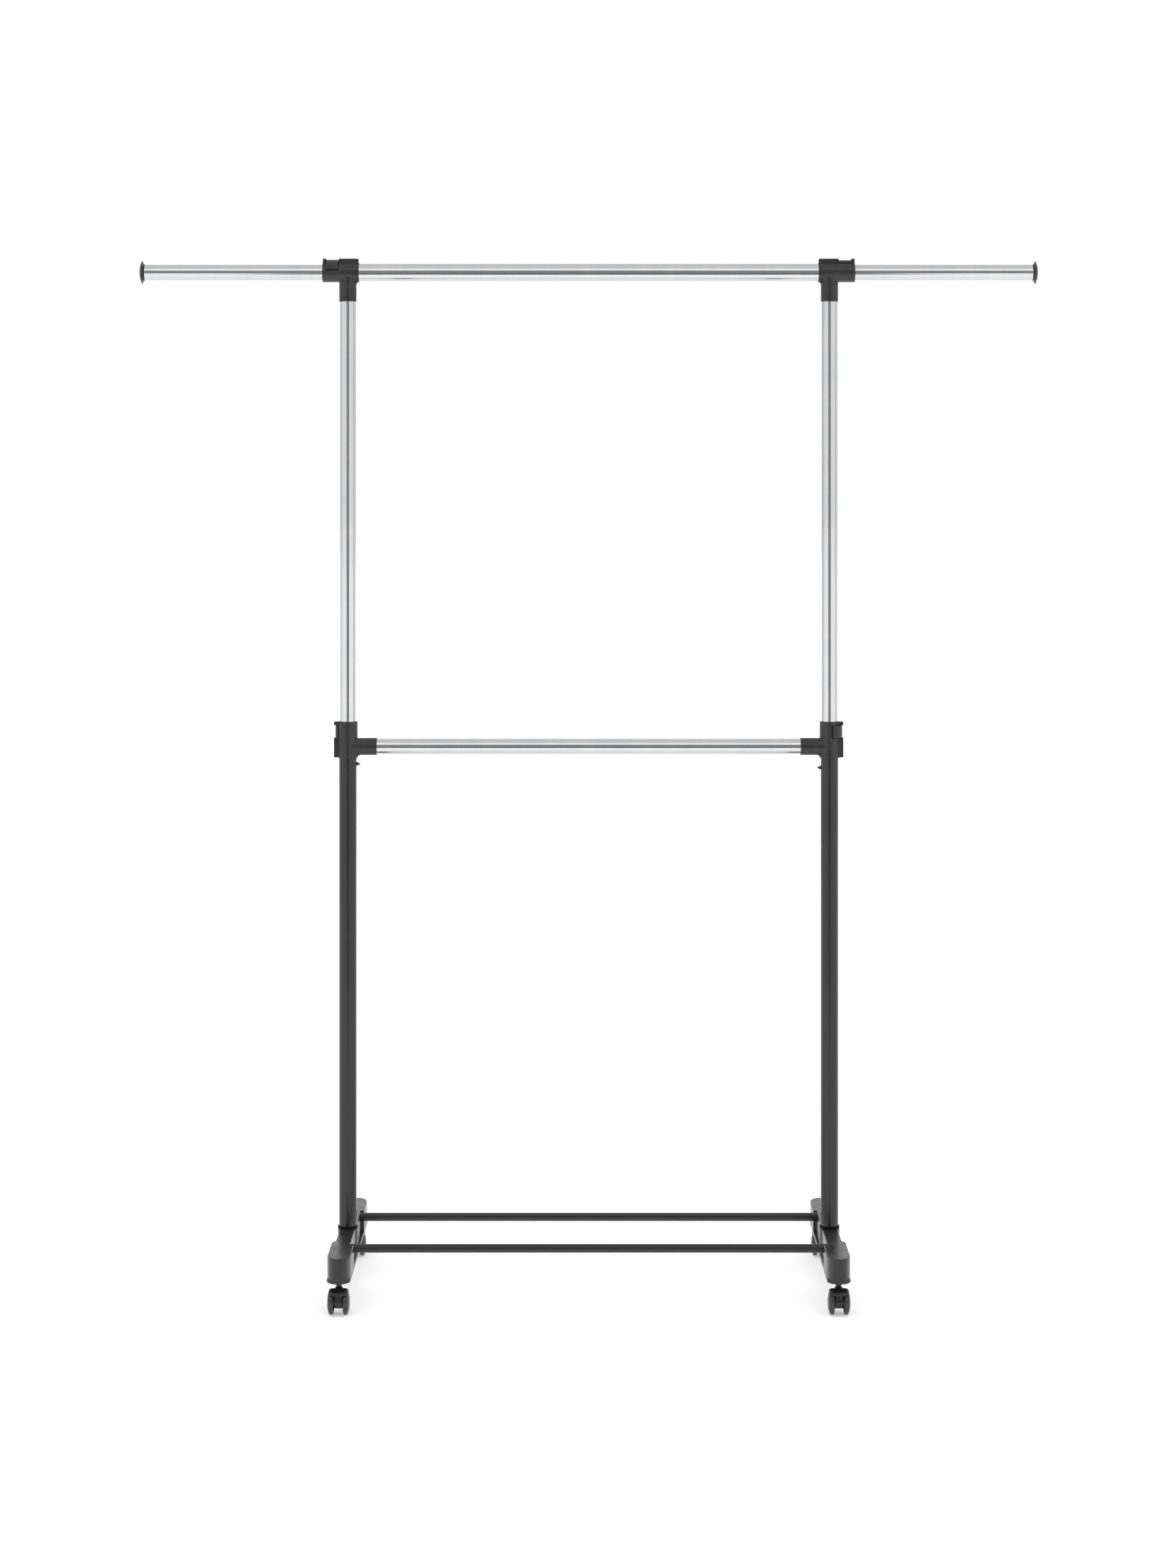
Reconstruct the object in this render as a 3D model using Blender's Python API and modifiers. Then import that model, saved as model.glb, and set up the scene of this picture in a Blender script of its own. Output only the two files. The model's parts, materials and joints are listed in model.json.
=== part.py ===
"""Rolling clothes rack: two telescoping uprights, an extendable top rail, a lower rail and four casters.

Metres, +Z up. The origin is on the floor, midway between the uprights, in the plane of the rails.
X runs along the rails and Y from front (-Y) to back (+Y).
"""
import math

import bmesh
import bpy
from mathutils import Matrix

MM = 0.001
GAP = 0.3 * MM
OVERLAP = 2.0 * MM
OVERSHOOT = 5.0 * MM

# Driving dimensions of the frame
HALF_SPAN = 0.387
TOP_RAIL_Z = 1.623
LOWER_RAIL_Z = 0.861
RACK_HALF_WIDTH = 0.7215
UPPER_TUBE_FOOT_Z = 0.800
EXTENSION_INNER_X = 0.335

# GAP is left between pieces that touch, OVERLAP is how far joined solids run into one another and
# OVERSHOOT is how far a cutter runs past the face it opens

# Tubes: the wide one receives the slim one
WIDE_R = 14.0 * MM
WIDE_BORE_R = 13.2 * MM
SLIM_R = 12.5 * MM
SLIM_BORE_R = 11.7 * MM
ROD_R = 6.8 * MM
ROD_BORE_R = 6.0 * MM
ROD_COLLAR = 15.0 * MM

# Tee connector, in its own frame: sleeve along Z with the clamp at +Z, arm along +X, rib along -X
SLEEVE_R = 15.75 * MM
SLEEVE_LOW = -18.3 * MM
SLEEVE_HIGH = 40.5 * MM
SHOULDER = 6.0 * MM
WIDE_SOCKET_R = WIDE_R + GAP
SLIM_SOCKET_R = SLIM_R + GAP
ARM_R = 13.9 * MM
ARM_START = 8.0 * MM
ARM_END = 47.0 * MM
ARM_FLOOR = 16.0 * MM
RIB_TOP = 22.2 * MM
RIB_ROOT = 10.0 * MM
RIB_HALF_WIDTH = 6.0 * MM
RIB_LOW = -17.3 * MM
RIB_HIGH = 40.2 * MM
WEB_HALF_WIDTH = 5.0 * MM

# Clamp lever on the tee; angles run from the +Y side (0) past the rib (90)
WINDOW_LOW = 14.4 * MM
WINDOW_HIGH = 34.6 * MM
WINDOW_FROM = 24.0
WINDOW_TO = 114.0
WINDOW_INNER_R = 11.0 * MM
WINDOW_OUTER_R = 40.0 * MM
NOTCH_FROM = 8.0
NOTCH_TO = 30.0
NOTCH_FLOOR_R = 13.6 * MM
LEVER_CLEARANCE = 0.4 * MM
LEVER_TIP_ANGLE = 18.0
LEVER_ROOT_ANGLE = 80.0
LEVER_TIP_R = 16.9 * MM
LEVER_ROOT_R = 20.7 * MM
LEVER_TIP_INNER_R = 14.3 * MM
LEVER_ROOT_INNER_R = 13.3 * MM
PIVOT_X = -16.0 * MM
PIVOT_Y = -3.0 * MM
BARREL_R = 3.1 * MM
BARREL_FROM = 170.0
BARREL_TO = 375.0
PIN_R = 1.2 * MM
PIN_HOLE_R = 1.5 * MM
PIN_LOW = 8.0 * MM
PIN_HIGH = SLEEVE_HIGH - 0.8 * MM

# Foot, in its own frame: origin on the floor under the upright, +X towards the rack's middle
FOOT_LOW = 49.0 * MM
FOOT_HIGH = 88.0 * MM
FOOT_HALF_LENGTH = 215.0 * MM
FLANGE_HALF_WIDTH = 18.5 * MM
FLANGE_HIGH = 54.0 * MM
BLOCK_HALF_WIDTH = 18.2 * MM
BLOCK_OUTER_Y = 97.0 * MM
BLOCK_INNER_Y = 117.5 * MM
BLOCK_CORNER = 1.5 * MM
NOSE_LENGTH = 29.5 * MM
NOSE_Y = 185.0 * MM
STEP_RUN = 5.0 * MM
WAIST_HALF_WIDTH = 12.5 * MM
TOP_ROUNDING = 3.0 * MM
BOSS_R = 16.0 * MM
BOSS_HIGH = 91.5 * MM
SOCKET_FLOOR = 55.5 * MM
WAIST_POCKET_HALF_WIDTH = 9.0 * MM
WAIST_POCKET_Y = (21.0 * MM, 97.0 * MM)
WAIST_POCKET_HIGH = 81.0 * MM
BLOCK_POCKET_HALF_WIDTH = 14.0 * MM
BLOCK_POCKET_Y = (119.0 * MM, 183.0 * MM)
BLOCK_POCKET_HIGH = 83.0 * MM
ROD_Y = 108.0 * MM
ROD_Z = 79.8 * MM
ROD_END = -9.5 * MM
BOLT_R = 3.0 * MM
BOLT_HOLE_R = 3.3 * MM
BOLT_HEAD_R = 5.2 * MM
BOLT_HEAD = 2.4 * MM
BOLT_SEAT = -15.2 * MM
BOLT_LENGTH = 22.0 * MM
BOLT_CHAMFER = 0.8 * MM
SEAT_R = 6.0 * MM
ACROSS_FOOT = 40.0 * MM
DIMPLE_R = 1.4 * MM
DIMPLE_X = 12.0 * MM
DIMPLE_Y = 138.0 * MM
DIMPLE_DEPTH = 2.0 * MM

# Caster, in its own frame: origin on the floor under the stem, trailing towards -Y
STEM_Y = 190.5 * MM
TRAIL = 9.5 * MM
WHEEL_R = 18.5 * MM
WHEEL_INNER = 7.5 * MM
WHEEL_OUTER = 17.4 * MM
WHEEL_DOME = ((9.5 * MM, 17.0 * MM), (14.5 * MM, 15.8 * MM), (17.6 * MM, 14.2 * MM))
TREAD_INNER = 9.3 * MM
TREAD_OUTER = 12.2 * MM
WHEEL_BACK_R = 17.0 * MM
AXLE_R = 1.5 * MM
AXLE_HOLE_R = 1.8 * MM
AXLE_HALF_LENGTH = 14.4 * MM
STEM_R = 4.0 * MM
STEM_HOLE_R = 4.3 * MM
STEM_LOW = 27.8 * MM
STEM_HIGH = 79.5 * MM
STEM_CHAMFER = 1.0 * MM
HOOD_R = 21.2 * MM
HOOD_INNER_R = 19.3 * MM
HOOD_HALF_WIDTH = 14.9 * MM
HOOD_SHOULDER = ((19.3 * MM, 14.9 * MM), (20.4 * MM, 13.2 * MM), (21.2 * MM, 10.5 * MM))
HOOD_MOUTH_R = 18.3 * MM
HOOD_INNER_FLAT = 11.5 * MM
HOOD_HIGH = WHEEL_R + HOOD_R
HOOD_FROM = 40.0
HOOD_TO = 186.0
HOOD_BOSS_R = 6.0 * MM
HOOD_BOSS_LOW = 23.8 * MM
FORK_R = 9.5 * MM
FORK_HALF_WIDTH = 6.2 * MM
FORK_FROM = 72.0
FORK_SETBACK = 3.0
FORK_FOOT_FROM = 20.0
FORK_FOOT_SETBACK = 10.0
COLLAR_R = 5.6 * MM
COLLAR_LOW = 45.8 * MM
NECK_R = 4.3 * MM

# End cap and glide plugs of the slim tubes
CAP_R = 18.3 * MM
CAP_HIGH = 8.0 * MM
CAP_DOME = ((7.0 * MM, 7.6 * MM), (13.0 * MM, 6.4 * MM), (17.0 * MM, 5.0 * MM))
CAP_RIM_HIGH = 4.3 * MM
CAP_RIM_LOW = 3.2 * MM
CAP_COLLAR_R = 13.4 * MM
CAP_COLLAR_HIGH = 1.8 * MM
CAP_WALL = 1.5 * MM
CAP_PLUG = 18.0 * MM
PLUG_R = SLIM_BORE_R - GAP
PLUG_BORE_R = 9.4 * MM
GLIDE_R = WIDE_BORE_R - GAP
GLIDE_FLANGE = 6.0 * MM
GLIDE_LENGTH = 15.0 * MM

# Stop studs under the lower tees
STUD_Z = {"left": 0.833, "right": 0.827}
STUD_HEAD = 5.8 * MM
STUD_CONE = ((1.2 * MM, 5.4 * MM), (3.2 * MM, 1.2 * MM), (3.4 * MM, GAP))
STUD_TAIL = 0.9 * MM
STUD_R = 2.5 * MM
STUD_HOLE_R = 2.8 * MM

TUBE_STEPS = 24
WHEEL_STEPS = 24
SMALL_STEPS = 12
WELD = 0.00001

# Colour, roughness and metallic value of each finish
FINISHES = {
    "chrome": ((0.86, 0.87, 0.88), 0.08, 1.0),
    "powder_coat": ((0.022, 0.022, 0.023), 0.42, 0.0),
    "moulding": ((0.035, 0.035, 0.036), 0.48, 0.0),
    "wheel": ((0.028, 0.028, 0.029), 0.38, 0.0),
    "zinc": ((0.62, 0.62, 0.60), 0.32, 1.0),
    "black_steel": ((0.020, 0.020, 0.021), 0.38, 0.0),
    "glide": ((0.75, 0.75, 0.73), 0.50, 0.0),
}

for old in list(bpy.data.objects):
    bpy.data.objects.remove(old)
RACK = bpy.data.collections.new("rolling_clothes_rack")
CUTTERS = bpy.data.collections.new("cutters")
for group in (RACK, CUTTERS):
    bpy.context.scene.collection.children.link(group)


def weld(mesh):
    """Join the loose edges of a converted shape and turn its faces outwards."""
    shell = bmesh.new()
    shell.from_mesh(mesh)
    bmesh.ops.remove_doubles(shell, verts=shell.verts, dist=WELD)
    bmesh.ops.recalc_face_normals(shell, faces=shell.faces)
    shell.to_mesh(mesh)
    shell.free()
    return mesh


def evaluated_mesh(shape):
    """The finished mesh of an object with its modifiers, which is then removed."""
    graph = bpy.context.evaluated_depsgraph_get()
    mesh = bpy.data.meshes.new_from_object(shape.evaluated_get(graph))
    bpy.data.objects.remove(shape)
    return mesh


def cylinder(radius, low, high, steps=TUBE_STEPS):
    """A solid cylinder about Z."""
    solid = bmesh.new()
    bmesh.ops.create_cone(
        solid,
        cap_ends=True,
        segments=steps,
        radius1=radius,
        radius2=radius,
        depth=high - low,
        matrix=Matrix.Translation((0, 0, (low + high) / 2)),
    )
    mesh = bpy.data.meshes.new("cylinder")
    solid.to_mesh(mesh)
    solid.free()
    return mesh


def box(low, high):
    """A block between two corners."""
    size = [b - a for a, b in zip(low, high)]
    centre = [(a + b) / 2 for a, b in zip(low, high)]
    solid = bmesh.new()
    bmesh.ops.create_cube(solid, size=1, matrix=Matrix.LocRotScale(centre, None, size))
    mesh = bpy.data.meshes.new("box")
    solid.to_mesh(mesh)
    solid.free()
    return mesh


def outline(loops, low, high):
    """A flat outline, with any holes in it, thickened along Z."""
    curve = bpy.data.curves.new("outline", "CURVE")
    curve.dimensions = "2D"
    curve.fill_mode = "BOTH"
    curve.extrude = (high - low) / 2
    for loop in loops:
        spline = curve.splines.new("POLY")
        spline.points.add(len(loop) - 1)
        spline.use_cyclic_u = True
        for point, (x, y) in zip(spline.points, loop):
            point.co = (x, y, 0, 1)
    shape = bpy.data.objects.new("outline", curve)
    CUTTERS.objects.link(shape)
    mesh = weld(evaluated_mesh(shape))
    return moved(mesh, z=(low + high) / 2)


def moved(mesh, x=0, y=0, z=0):
    """Shift a shape."""
    mesh.transform(Matrix.Translation((x, y, z)))
    return mesh


def turned_to_x(mesh):
    """Lay a shape made about Z along +X; its own X then points down."""
    mesh.transform(Matrix.Rotation(math.pi / 2, 4, "Y"))
    return mesh


def combined(mesh, *steps):
    """Join and cut solids in turn; each step is an operation and a mesh."""
    body = bpy.data.objects.new("body", mesh)
    CUTTERS.objects.link(body)
    tools = []
    for operation, tool_mesh in steps:
        tool = bpy.data.objects.new(operation.lower(), tool_mesh)
        CUTTERS.objects.link(tool)
        tools.append(tool)
        modifier = body.modifiers.new(operation, "BOOLEAN")
        modifier.operation = operation
        modifier.solver = "EXACT"
        modifier.object = tool
    result = evaluated_mesh(body)
    for tool in tools:
        bpy.data.objects.remove(tool)
    return weld(result)


def arc(radius, start, end, steps, x=0, y=0):
    """Points on an arc, in degrees from +X."""
    angles = [math.radians(start + (end - start) * i / steps) for i in range(steps + 1)]
    return [(x + radius * math.cos(a), y + radius * math.sin(a)) for a in angles]


def material(name, finish):
    """A piece's own material in one of the finishes."""
    colour, roughness, metallic = FINISHES[finish]
    result = bpy.data.materials.new(name)
    result.use_nodes = True
    shader = result.node_tree.nodes["Principled BSDF"]
    shader.inputs["Base Color"].default_value = (*colour, 1)
    shader.inputs["Roughness"].default_value = roughness
    shader.inputs["Metallic"].default_value = metallic
    return result


def empty(name, location, parent=None):
    """The frame of a moving group, on its joint's axis."""
    frame = bpy.data.objects.new(name, None)
    frame.empty_display_size = 0.03
    frame.location = location
    frame.parent = parent
    RACK.objects.link(frame)
    return frame


def add(name, mesh, finish, location, rotation=(0, 0, 0), parent=None):
    """One named piece of the rack, placed in its parent's frame."""
    part = bpy.data.objects.new(name, mesh.copy())
    part.data.name = name
    part.data.materials.clear()
    part.data.materials.append(material(name, finish))
    part.location = location
    part.rotation_euler = rotation
    part.parent = parent
    RACK.objects.link(part)
    part.data.shade_smooth()
    part.data.set_sharp_from_angle(angle=math.radians(35))
    return part


def profile_mesh(profile, closed):
    """A chain of (radius, height) points in the XZ plane, from the top down its outer side."""
    mesh = bpy.data.meshes.new("profile")
    count = len(profile)
    edges = [(i, (i + 1) % count) for i in range(count if closed else count - 1)]
    mesh.from_pydata([(radius, 0, height) for radius, height in profile], edges, [])
    return mesh


def turn_about_z(shape, steps):
    """Turn an object's profile once round its Z axis."""
    screw = shape.modifiers.new("turn", "SCREW")
    screw.axis = "Z"
    screw.steps = steps
    screw.render_steps = steps
    screw.use_merge_vertices = True
    screw.merge_threshold = WELD


def turned(name, profile, finish, location, rotation=(0, 0, 0), parent=None, closed=True,
           steps=TUBE_STEPS):
    """A named piece turned about its Z axis."""
    part = add(name, profile_mesh(profile, closed), finish, location, rotation, parent)
    turn_about_z(part, steps)
    return part


def barrel(flank, steps=TUBE_STEPS):
    """A solid turned about Z, alike above and below Z = 0, from the points of its upper half."""
    shape = bpy.data.objects.new("barrel", profile_mesh(flank + [(r, -z) for r, z in reversed(flank)], False))
    CUTTERS.objects.link(shape)
    turn_about_z(shape, steps)
    return weld(evaluated_mesh(shape))


def tube_profile(radius, bore, low, high):
    """Half section of a plain tube."""
    return [(radius, high), (radius, low), (bore, low), (bore, high)]


ALONG_X = (0, math.pi / 2, 0)
AGAINST_X = (0, -math.pi / 2, 0)


# ---------------------------------------------------------------- tee connector and clamp lever

def clamp_point(radius, angle):
    """A point round the sleeve, by its angle from +Y towards the rib."""
    return (-radius * math.sin(math.radians(angle)), radius * math.cos(math.radians(angle)))


def clamp_arc(radius_from, radius_to, start, end, steps):
    """An arc round the sleeve whose radius changes evenly."""
    points = []
    for i in range(steps + 1):
        share = i / steps
        radius = radius_from + (radius_to - radius_from) * share
        points.append(clamp_point(radius, start + (end - start) * share))
    return points


def arm_web():
    """The web that fills the corner between the arm and the sleeve's short end."""
    reach = abs(SLEEVE_LOW) - ARM_R
    corner = (SLEEVE_R + reach, -ARM_R - reach)
    fillet = arc(reach + GAP, 90, 180, 6, *corner)
    inside_x = SLEEVE_R - OVERLAP
    inside_z = -ARM_R + OVERLAP
    loop = [(inside_x, corner[1]), (inside_x, inside_z), (corner[0], inside_z)] + fillet
    web = outline([loop], -WEB_HALF_WIDTH, WEB_HALF_WIDTH)
    web.transform(Matrix.Rotation(math.pi / 2, 4, "X"))
    return web


def tee_mesh():
    """The moulded connector: sleeve, arm and rib, with the window and finger notch of its lever."""
    sleeve = cylinder(SLEEVE_R, SLEEVE_LOW, SLEEVE_HIGH)
    arm = turned_to_x(cylinder(ARM_R, ARM_START, ARM_END))
    rib = box((-RIB_TOP, -RIB_HALF_WIDTH, RIB_LOW), (-RIB_ROOT, RIB_HALF_WIDTH, RIB_HIGH))
    wide_bore = cylinder(WIDE_SOCKET_R, SLEEVE_LOW - OVERSHOOT, SHOULDER)
    slim_bore = cylinder(SLIM_SOCKET_R, SHOULDER - OVERLAP, SLEEVE_HIGH + OVERSHOOT)
    arm_bore = turned_to_x(cylinder(SLIM_SOCKET_R, ARM_FLOOR, ARM_END + OVERSHOOT))
    window_loop = clamp_arc(WINDOW_INNER_R, WINDOW_INNER_R, WINDOW_FROM, WINDOW_TO, 8)
    window_loop += clamp_arc(WINDOW_OUTER_R, WINDOW_OUTER_R, WINDOW_TO, WINDOW_FROM, 4)
    window = outline([window_loop], WINDOW_LOW, WINDOW_HIGH)
    notch_loop = clamp_arc(NOTCH_FLOOR_R, NOTCH_FLOOR_R, NOTCH_FROM, NOTCH_TO, 3)
    notch_loop += clamp_arc(WINDOW_OUTER_R, WINDOW_OUTER_R, NOTCH_TO, NOTCH_FROM, 1)
    notch = outline([notch_loop], WINDOW_LOW, WINDOW_HIGH)
    pin_hole = cylinder(PIN_HOLE_R, PIN_LOW, SLEEVE_HIGH + OVERSHOOT, SMALL_STEPS)
    return combined(
        sleeve,
        ("UNION", arm),
        ("UNION", rib),
        ("UNION", arm_web()),
        ("DIFFERENCE", wide_bore),
        ("DIFFERENCE", slim_bore),
        ("DIFFERENCE", arm_bore),
        ("DIFFERENCE", window),
        ("DIFFERENCE", notch),
        ("DIFFERENCE", moved(pin_hole, PIVOT_X, PIVOT_Y)),
    )


def lever_mesh():
    """The curved clamp lever, with its hinge barrel about the origin."""
    loop = clamp_arc(LEVER_TIP_R, LEVER_ROOT_R, LEVER_TIP_ANGLE, LEVER_ROOT_ANGLE, 7)
    loop += arc(BARREL_R, BARREL_FROM, BARREL_TO, 9, PIVOT_X, PIVOT_Y)
    loop += clamp_arc(LEVER_ROOT_INNER_R, LEVER_TIP_INNER_R, LEVER_ROOT_ANGLE, LEVER_TIP_ANGLE, 7)
    hole = arc(PIN_HOLE_R, 0, 360 - 360 / SMALL_STEPS, SMALL_STEPS - 1, PIVOT_X, PIVOT_Y)
    mesh = outline([loop, hole], WINDOW_LOW + LEVER_CLEARANCE, WINDOW_HIGH - LEVER_CLEARANCE)
    return moved(mesh, -PIVOT_X, -PIVOT_Y)


def add_tee(name, tee, lever, location, rotation, parent=None):
    """A tee with its lever and hinge pin."""
    body = add(f"{name}_tee", tee, "moulding", location, rotation, parent)
    pivot = (PIVOT_X, PIVOT_Y, 0)
    add(f"{name}_lever", lever, "moulding", pivot, parent=body)
    pin_profile = [(0, PIN_HIGH), (PIN_R, PIN_HIGH), (PIN_R, PIN_LOW + GAP), (0, PIN_LOW + GAP)]
    turned(f"{name}_lever_pin", pin_profile, "zinc", pivot, parent=body, closed=False, steps=SMALL_STEPS)


# ---------------------------------------------------------------- foot

def half_foot_outline():
    """The blocks and the waist, as seen from above, for the front half (-Y)."""
    nose = [(x * BLOCK_HALF_WIDTH, y * NOSE_LENGTH - NOSE_Y) for x, y in arc(1, 180, 360, 12)]
    shoulder_x = BLOCK_HALF_WIDTH - BLOCK_CORNER
    outer_step = [(-WAIST_HALF_WIDTH, STEP_RUN - BLOCK_OUTER_Y), (-shoulder_x, -BLOCK_OUTER_Y),
                  (-BLOCK_HALF_WIDTH, -BLOCK_OUTER_Y - STEP_RUN)]
    inner_step = [(BLOCK_HALF_WIDTH, -BLOCK_INNER_Y - BLOCK_CORNER), (shoulder_x, -BLOCK_INNER_Y),
                  (WAIST_HALF_WIDTH, -BLOCK_INNER_Y)]
    return outer_step + nose + inner_step


def foot_body():
    """The beam above the flange, with its top edge rounded."""
    front = half_foot_outline()
    back = [(x, -y) for x, y in reversed(front)]
    mesh = outline([front + back], FLANGE_HIGH - OVERLAP, FOOT_HIGH)
    shell = bmesh.new()
    shell.from_mesh(mesh)
    bmesh.ops.dissolve_limit(shell, angle_limit=math.radians(1), verts=shell.verts, edges=shell.edges)
    rim = [e for e in shell.edges if all(abs(v.co.z - FOOT_HIGH) < WELD for v in e.verts)]
    bmesh.ops.bevel(shell, geom=rim, offset=TOP_ROUNDING, segments=1, profile=0.5, affect="EDGES",
                    clamp_overlap=True)
    shell.to_mesh(mesh)
    shell.free()
    return mesh


def foot_mesh():
    """The moulded foot: flange, body, upright socket, rod holes, caster holes and hollow underside."""
    nose_y = FOOT_HALF_LENGTH - FLANGE_HALF_WIDTH
    stadium = arc(FLANGE_HALF_WIDTH, 0, 180, 10, 0, nose_y) + arc(FLANGE_HALF_WIDTH, 180, 360, 10, 0, -nose_y)
    flange = outline([stadium], FOOT_LOW, FLANGE_HIGH)
    steps = [("UNION", foot_body()), ("UNION", cylinder(BOSS_R, FOOT_LOW + OVERLAP, BOSS_HIGH))]
    steps.append(("DIFFERENCE", cylinder(WIDE_SOCKET_R, SOCKET_FLOOR, BOSS_HIGH + OVERSHOOT)))
    for side in (-1, 1):
        steps.append(("DIFFERENCE", pocket(WAIST_POCKET_HALF_WIDTH, WAIST_POCKET_Y, WAIST_POCKET_HIGH, side)))
        steps.append(("DIFFERENCE", pocket(BLOCK_POCKET_HALF_WIDTH, BLOCK_POCKET_Y, BLOCK_POCKET_HIGH, side)))
        rod_hole = turned_to_x(cylinder(ROD_R + GAP, ROD_END - GAP, ACROSS_FOOT, 16))
        seat = turned_to_x(cylinder(SEAT_R, -ACROSS_FOOT, BOLT_SEAT, 16))
        shank_hole = turned_to_x(cylinder(BOLT_HOLE_R, BOLT_SEAT - OVERLAP, ROD_END + OVERLAP, SMALL_STEPS))
        for hole in (rod_hole, seat, shank_hole):
            steps.append(("DIFFERENCE", moved(hole, y=side * ROD_Y, z=ROD_Z)))
        stem_hole = cylinder(STEM_HOLE_R, FOOT_LOW - OVERSHOOT, STEM_HIGH + GAP, SMALL_STEPS)
        steps.append(("DIFFERENCE", moved(stem_hole, y=side * STEM_Y)))
        dimple = cylinder(DIMPLE_R, FOOT_HIGH - DIMPLE_DEPTH, FOOT_HIGH + OVERSHOOT, SMALL_STEPS)
        steps.append(("DIFFERENCE", moved(dimple, DIMPLE_X, side * DIMPLE_Y)))
    return combined(flange, *steps)


def pocket(half_width, along, high, side):
    """A hollow in the underside of the foot, on the front (-1) or back (1) half."""
    near, far = sorted(side * y for y in along)
    return box((-half_width, near, FOOT_LOW - OVERSHOOT), (half_width, far, high))


def add_rod(name, y):
    """A thin tube between the feet, with a threaded collar in each end."""
    half = HALF_SPAN - ROD_END
    bore_half = half - ROD_COLLAR
    profile = [(ROD_R, half), (ROD_R, -half), (BOLT_HOLE_R, -half), (BOLT_HOLE_R, -bore_half),
               (ROD_BORE_R, -bore_half), (ROD_BORE_R, bore_half), (BOLT_HOLE_R, bore_half),
               (BOLT_HOLE_R, half)]
    turned(name, profile, "powder_coat", (0, y, ROD_Z), ALONG_X, steps=16)


def add_rod_bolt(name, foot, y):
    """The bolt through the foot's outer face into the end of a rod, in the foot's frame."""
    head_low = -GAP - BOLT_HEAD
    profile = [(0, BOLT_LENGTH), (BOLT_R, BOLT_LENGTH), (BOLT_R, -GAP), (BOLT_HEAD_R, -GAP),
               (BOLT_HEAD_R, head_low + BOLT_CHAMFER), (BOLT_HEAD_R - BOLT_CHAMFER, head_low), (0, head_low)]
    turned(name, profile, "zinc", (BOLT_SEAT, y, ROD_Z), ALONG_X, parent=foot, closed=False, steps=SMALL_STEPS)


# ---------------------------------------------------------------- caster

def hood_mesh():
    """The caster's body: round-shouldered hood, fork between the wheels and stem boss, made about its axle."""
    skin = barrel([(0, HOOD_HALF_WIDTH), *HOOD_SHOULDER])
    past = HOOD_HALF_WIDTH + OVERSHOOT
    mouth = [(0, past), (HOOD_MOUTH_R, past), (HOOD_MOUTH_R, HOOD_HALF_WIDTH)]
    cavity = barrel([*mouth, (HOOD_INNER_R, HOOD_INNER_FLAT)])
    sector = outline([[(0, 0)] + arc(2 * HOOD_R, HOOD_FROM, HOOD_TO, 8)], -past, past)
    joint_r = (HOOD_R + HOOD_INNER_R) / 2
    fork_loop = arc(joint_r, FORK_FROM, HOOD_TO - FORK_SETBACK, 12)
    fork_loop += arc(FORK_R, HOOD_TO + FORK_FOOT_SETBACK, FORK_FOOT_FROM + 360, 10)
    fork = outline([fork_loop], -FORK_HALF_WIDTH, FORK_HALF_WIDTH)
    axle_hole = cylinder(AXLE_HOLE_R, -past, past, SMALL_STEPS)
    sides = combined(skin, ("INTERSECT", sector), ("DIFFERENCE", cavity), ("UNION", fork),
                     ("DIFFERENCE", axle_hole))
    # The outline's X becomes the trailing direction (-Y), its Y becomes Z and its thickness runs along X
    sides.transform(Matrix(((0, 0, -1, 0), (-1, 0, 0, 0), (0, 1, 0, 0), (0, 0, 0, 1))))
    moved(sides, y=-TRAIL, z=WHEEL_R)
    boss = cylinder(HOOD_BOSS_R, HOOD_BOSS_LOW, HOOD_HIGH, 16)
    stem_hole = cylinder(STEM_HOLE_R, STEM_LOW - GAP, HOOD_HIGH + OVERSHOOT, 16)
    return combined(sides, ("UNION", boss), ("DIFFERENCE", stem_hole))


def wheel_profile():
    """Half section of a wheel, outer face up: domed disc with a blind hole for the axle."""
    hole_end = AXLE_HALF_LENGTH + GAP
    tread = [(WHEEL_R, TREAD_OUTER), (WHEEL_R, TREAD_INNER), (WHEEL_BACK_R, WHEEL_INNER)]
    bore = [(AXLE_HOLE_R, WHEEL_INNER), (AXLE_HOLE_R, hole_end), (0, hole_end)]
    return [(0, WHEEL_OUTER), *WHEEL_DOME, *tread, *bore]


def add_caster(name, x, y, hood):
    """A twin-wheel caster: its stem stays in the foot and the rest swivels about it."""
    top = STEM_HIGH
    stem = [(0, top), (STEM_R - STEM_CHAMFER, top), (STEM_R, top - STEM_CHAMFER), (STEM_R, FOOT_LOW - GAP),
            (COLLAR_R, FOOT_LOW - GAP), (COLLAR_R, COLLAR_LOW), (NECK_R, COLLAR_LOW),
            (NECK_R, HOOD_HIGH + GAP), (STEM_R, HOOD_HIGH + GAP), (STEM_R, STEM_LOW), (0, STEM_LOW)]
    turned(f"{name}_caster_stem", stem, "black_steel", (x, y, 0), closed=False, steps=16)
    swivel = empty(f"{name}_swivel", (x, y, 0))
    add(f"{name}_caster_hood", hood, "moulding", (0, 0, 0), parent=swivel)
    half = AXLE_HALF_LENGTH
    axle = [(0, half), (AXLE_R, half), (AXLE_R, -half), (0, -half)]
    centre = (0, -TRAIL, WHEEL_R)
    turned(f"{name}_axle", axle, "zinc", centre, ALONG_X, swivel, closed=False, steps=SMALL_STEPS)
    outward = ALONG_X if x > 0 else AGAINST_X
    inward = AGAINST_X if x > 0 else ALONG_X
    for which, turn in (("outer", outward), ("inner", inward)):
        turned(f"{name}_{which}_wheel", wheel_profile(), "wheel", centre, turn, swivel, closed=False,
               steps=WHEEL_STEPS)


# ---------------------------------------------------------------- tubes, plugs and caps

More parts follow.
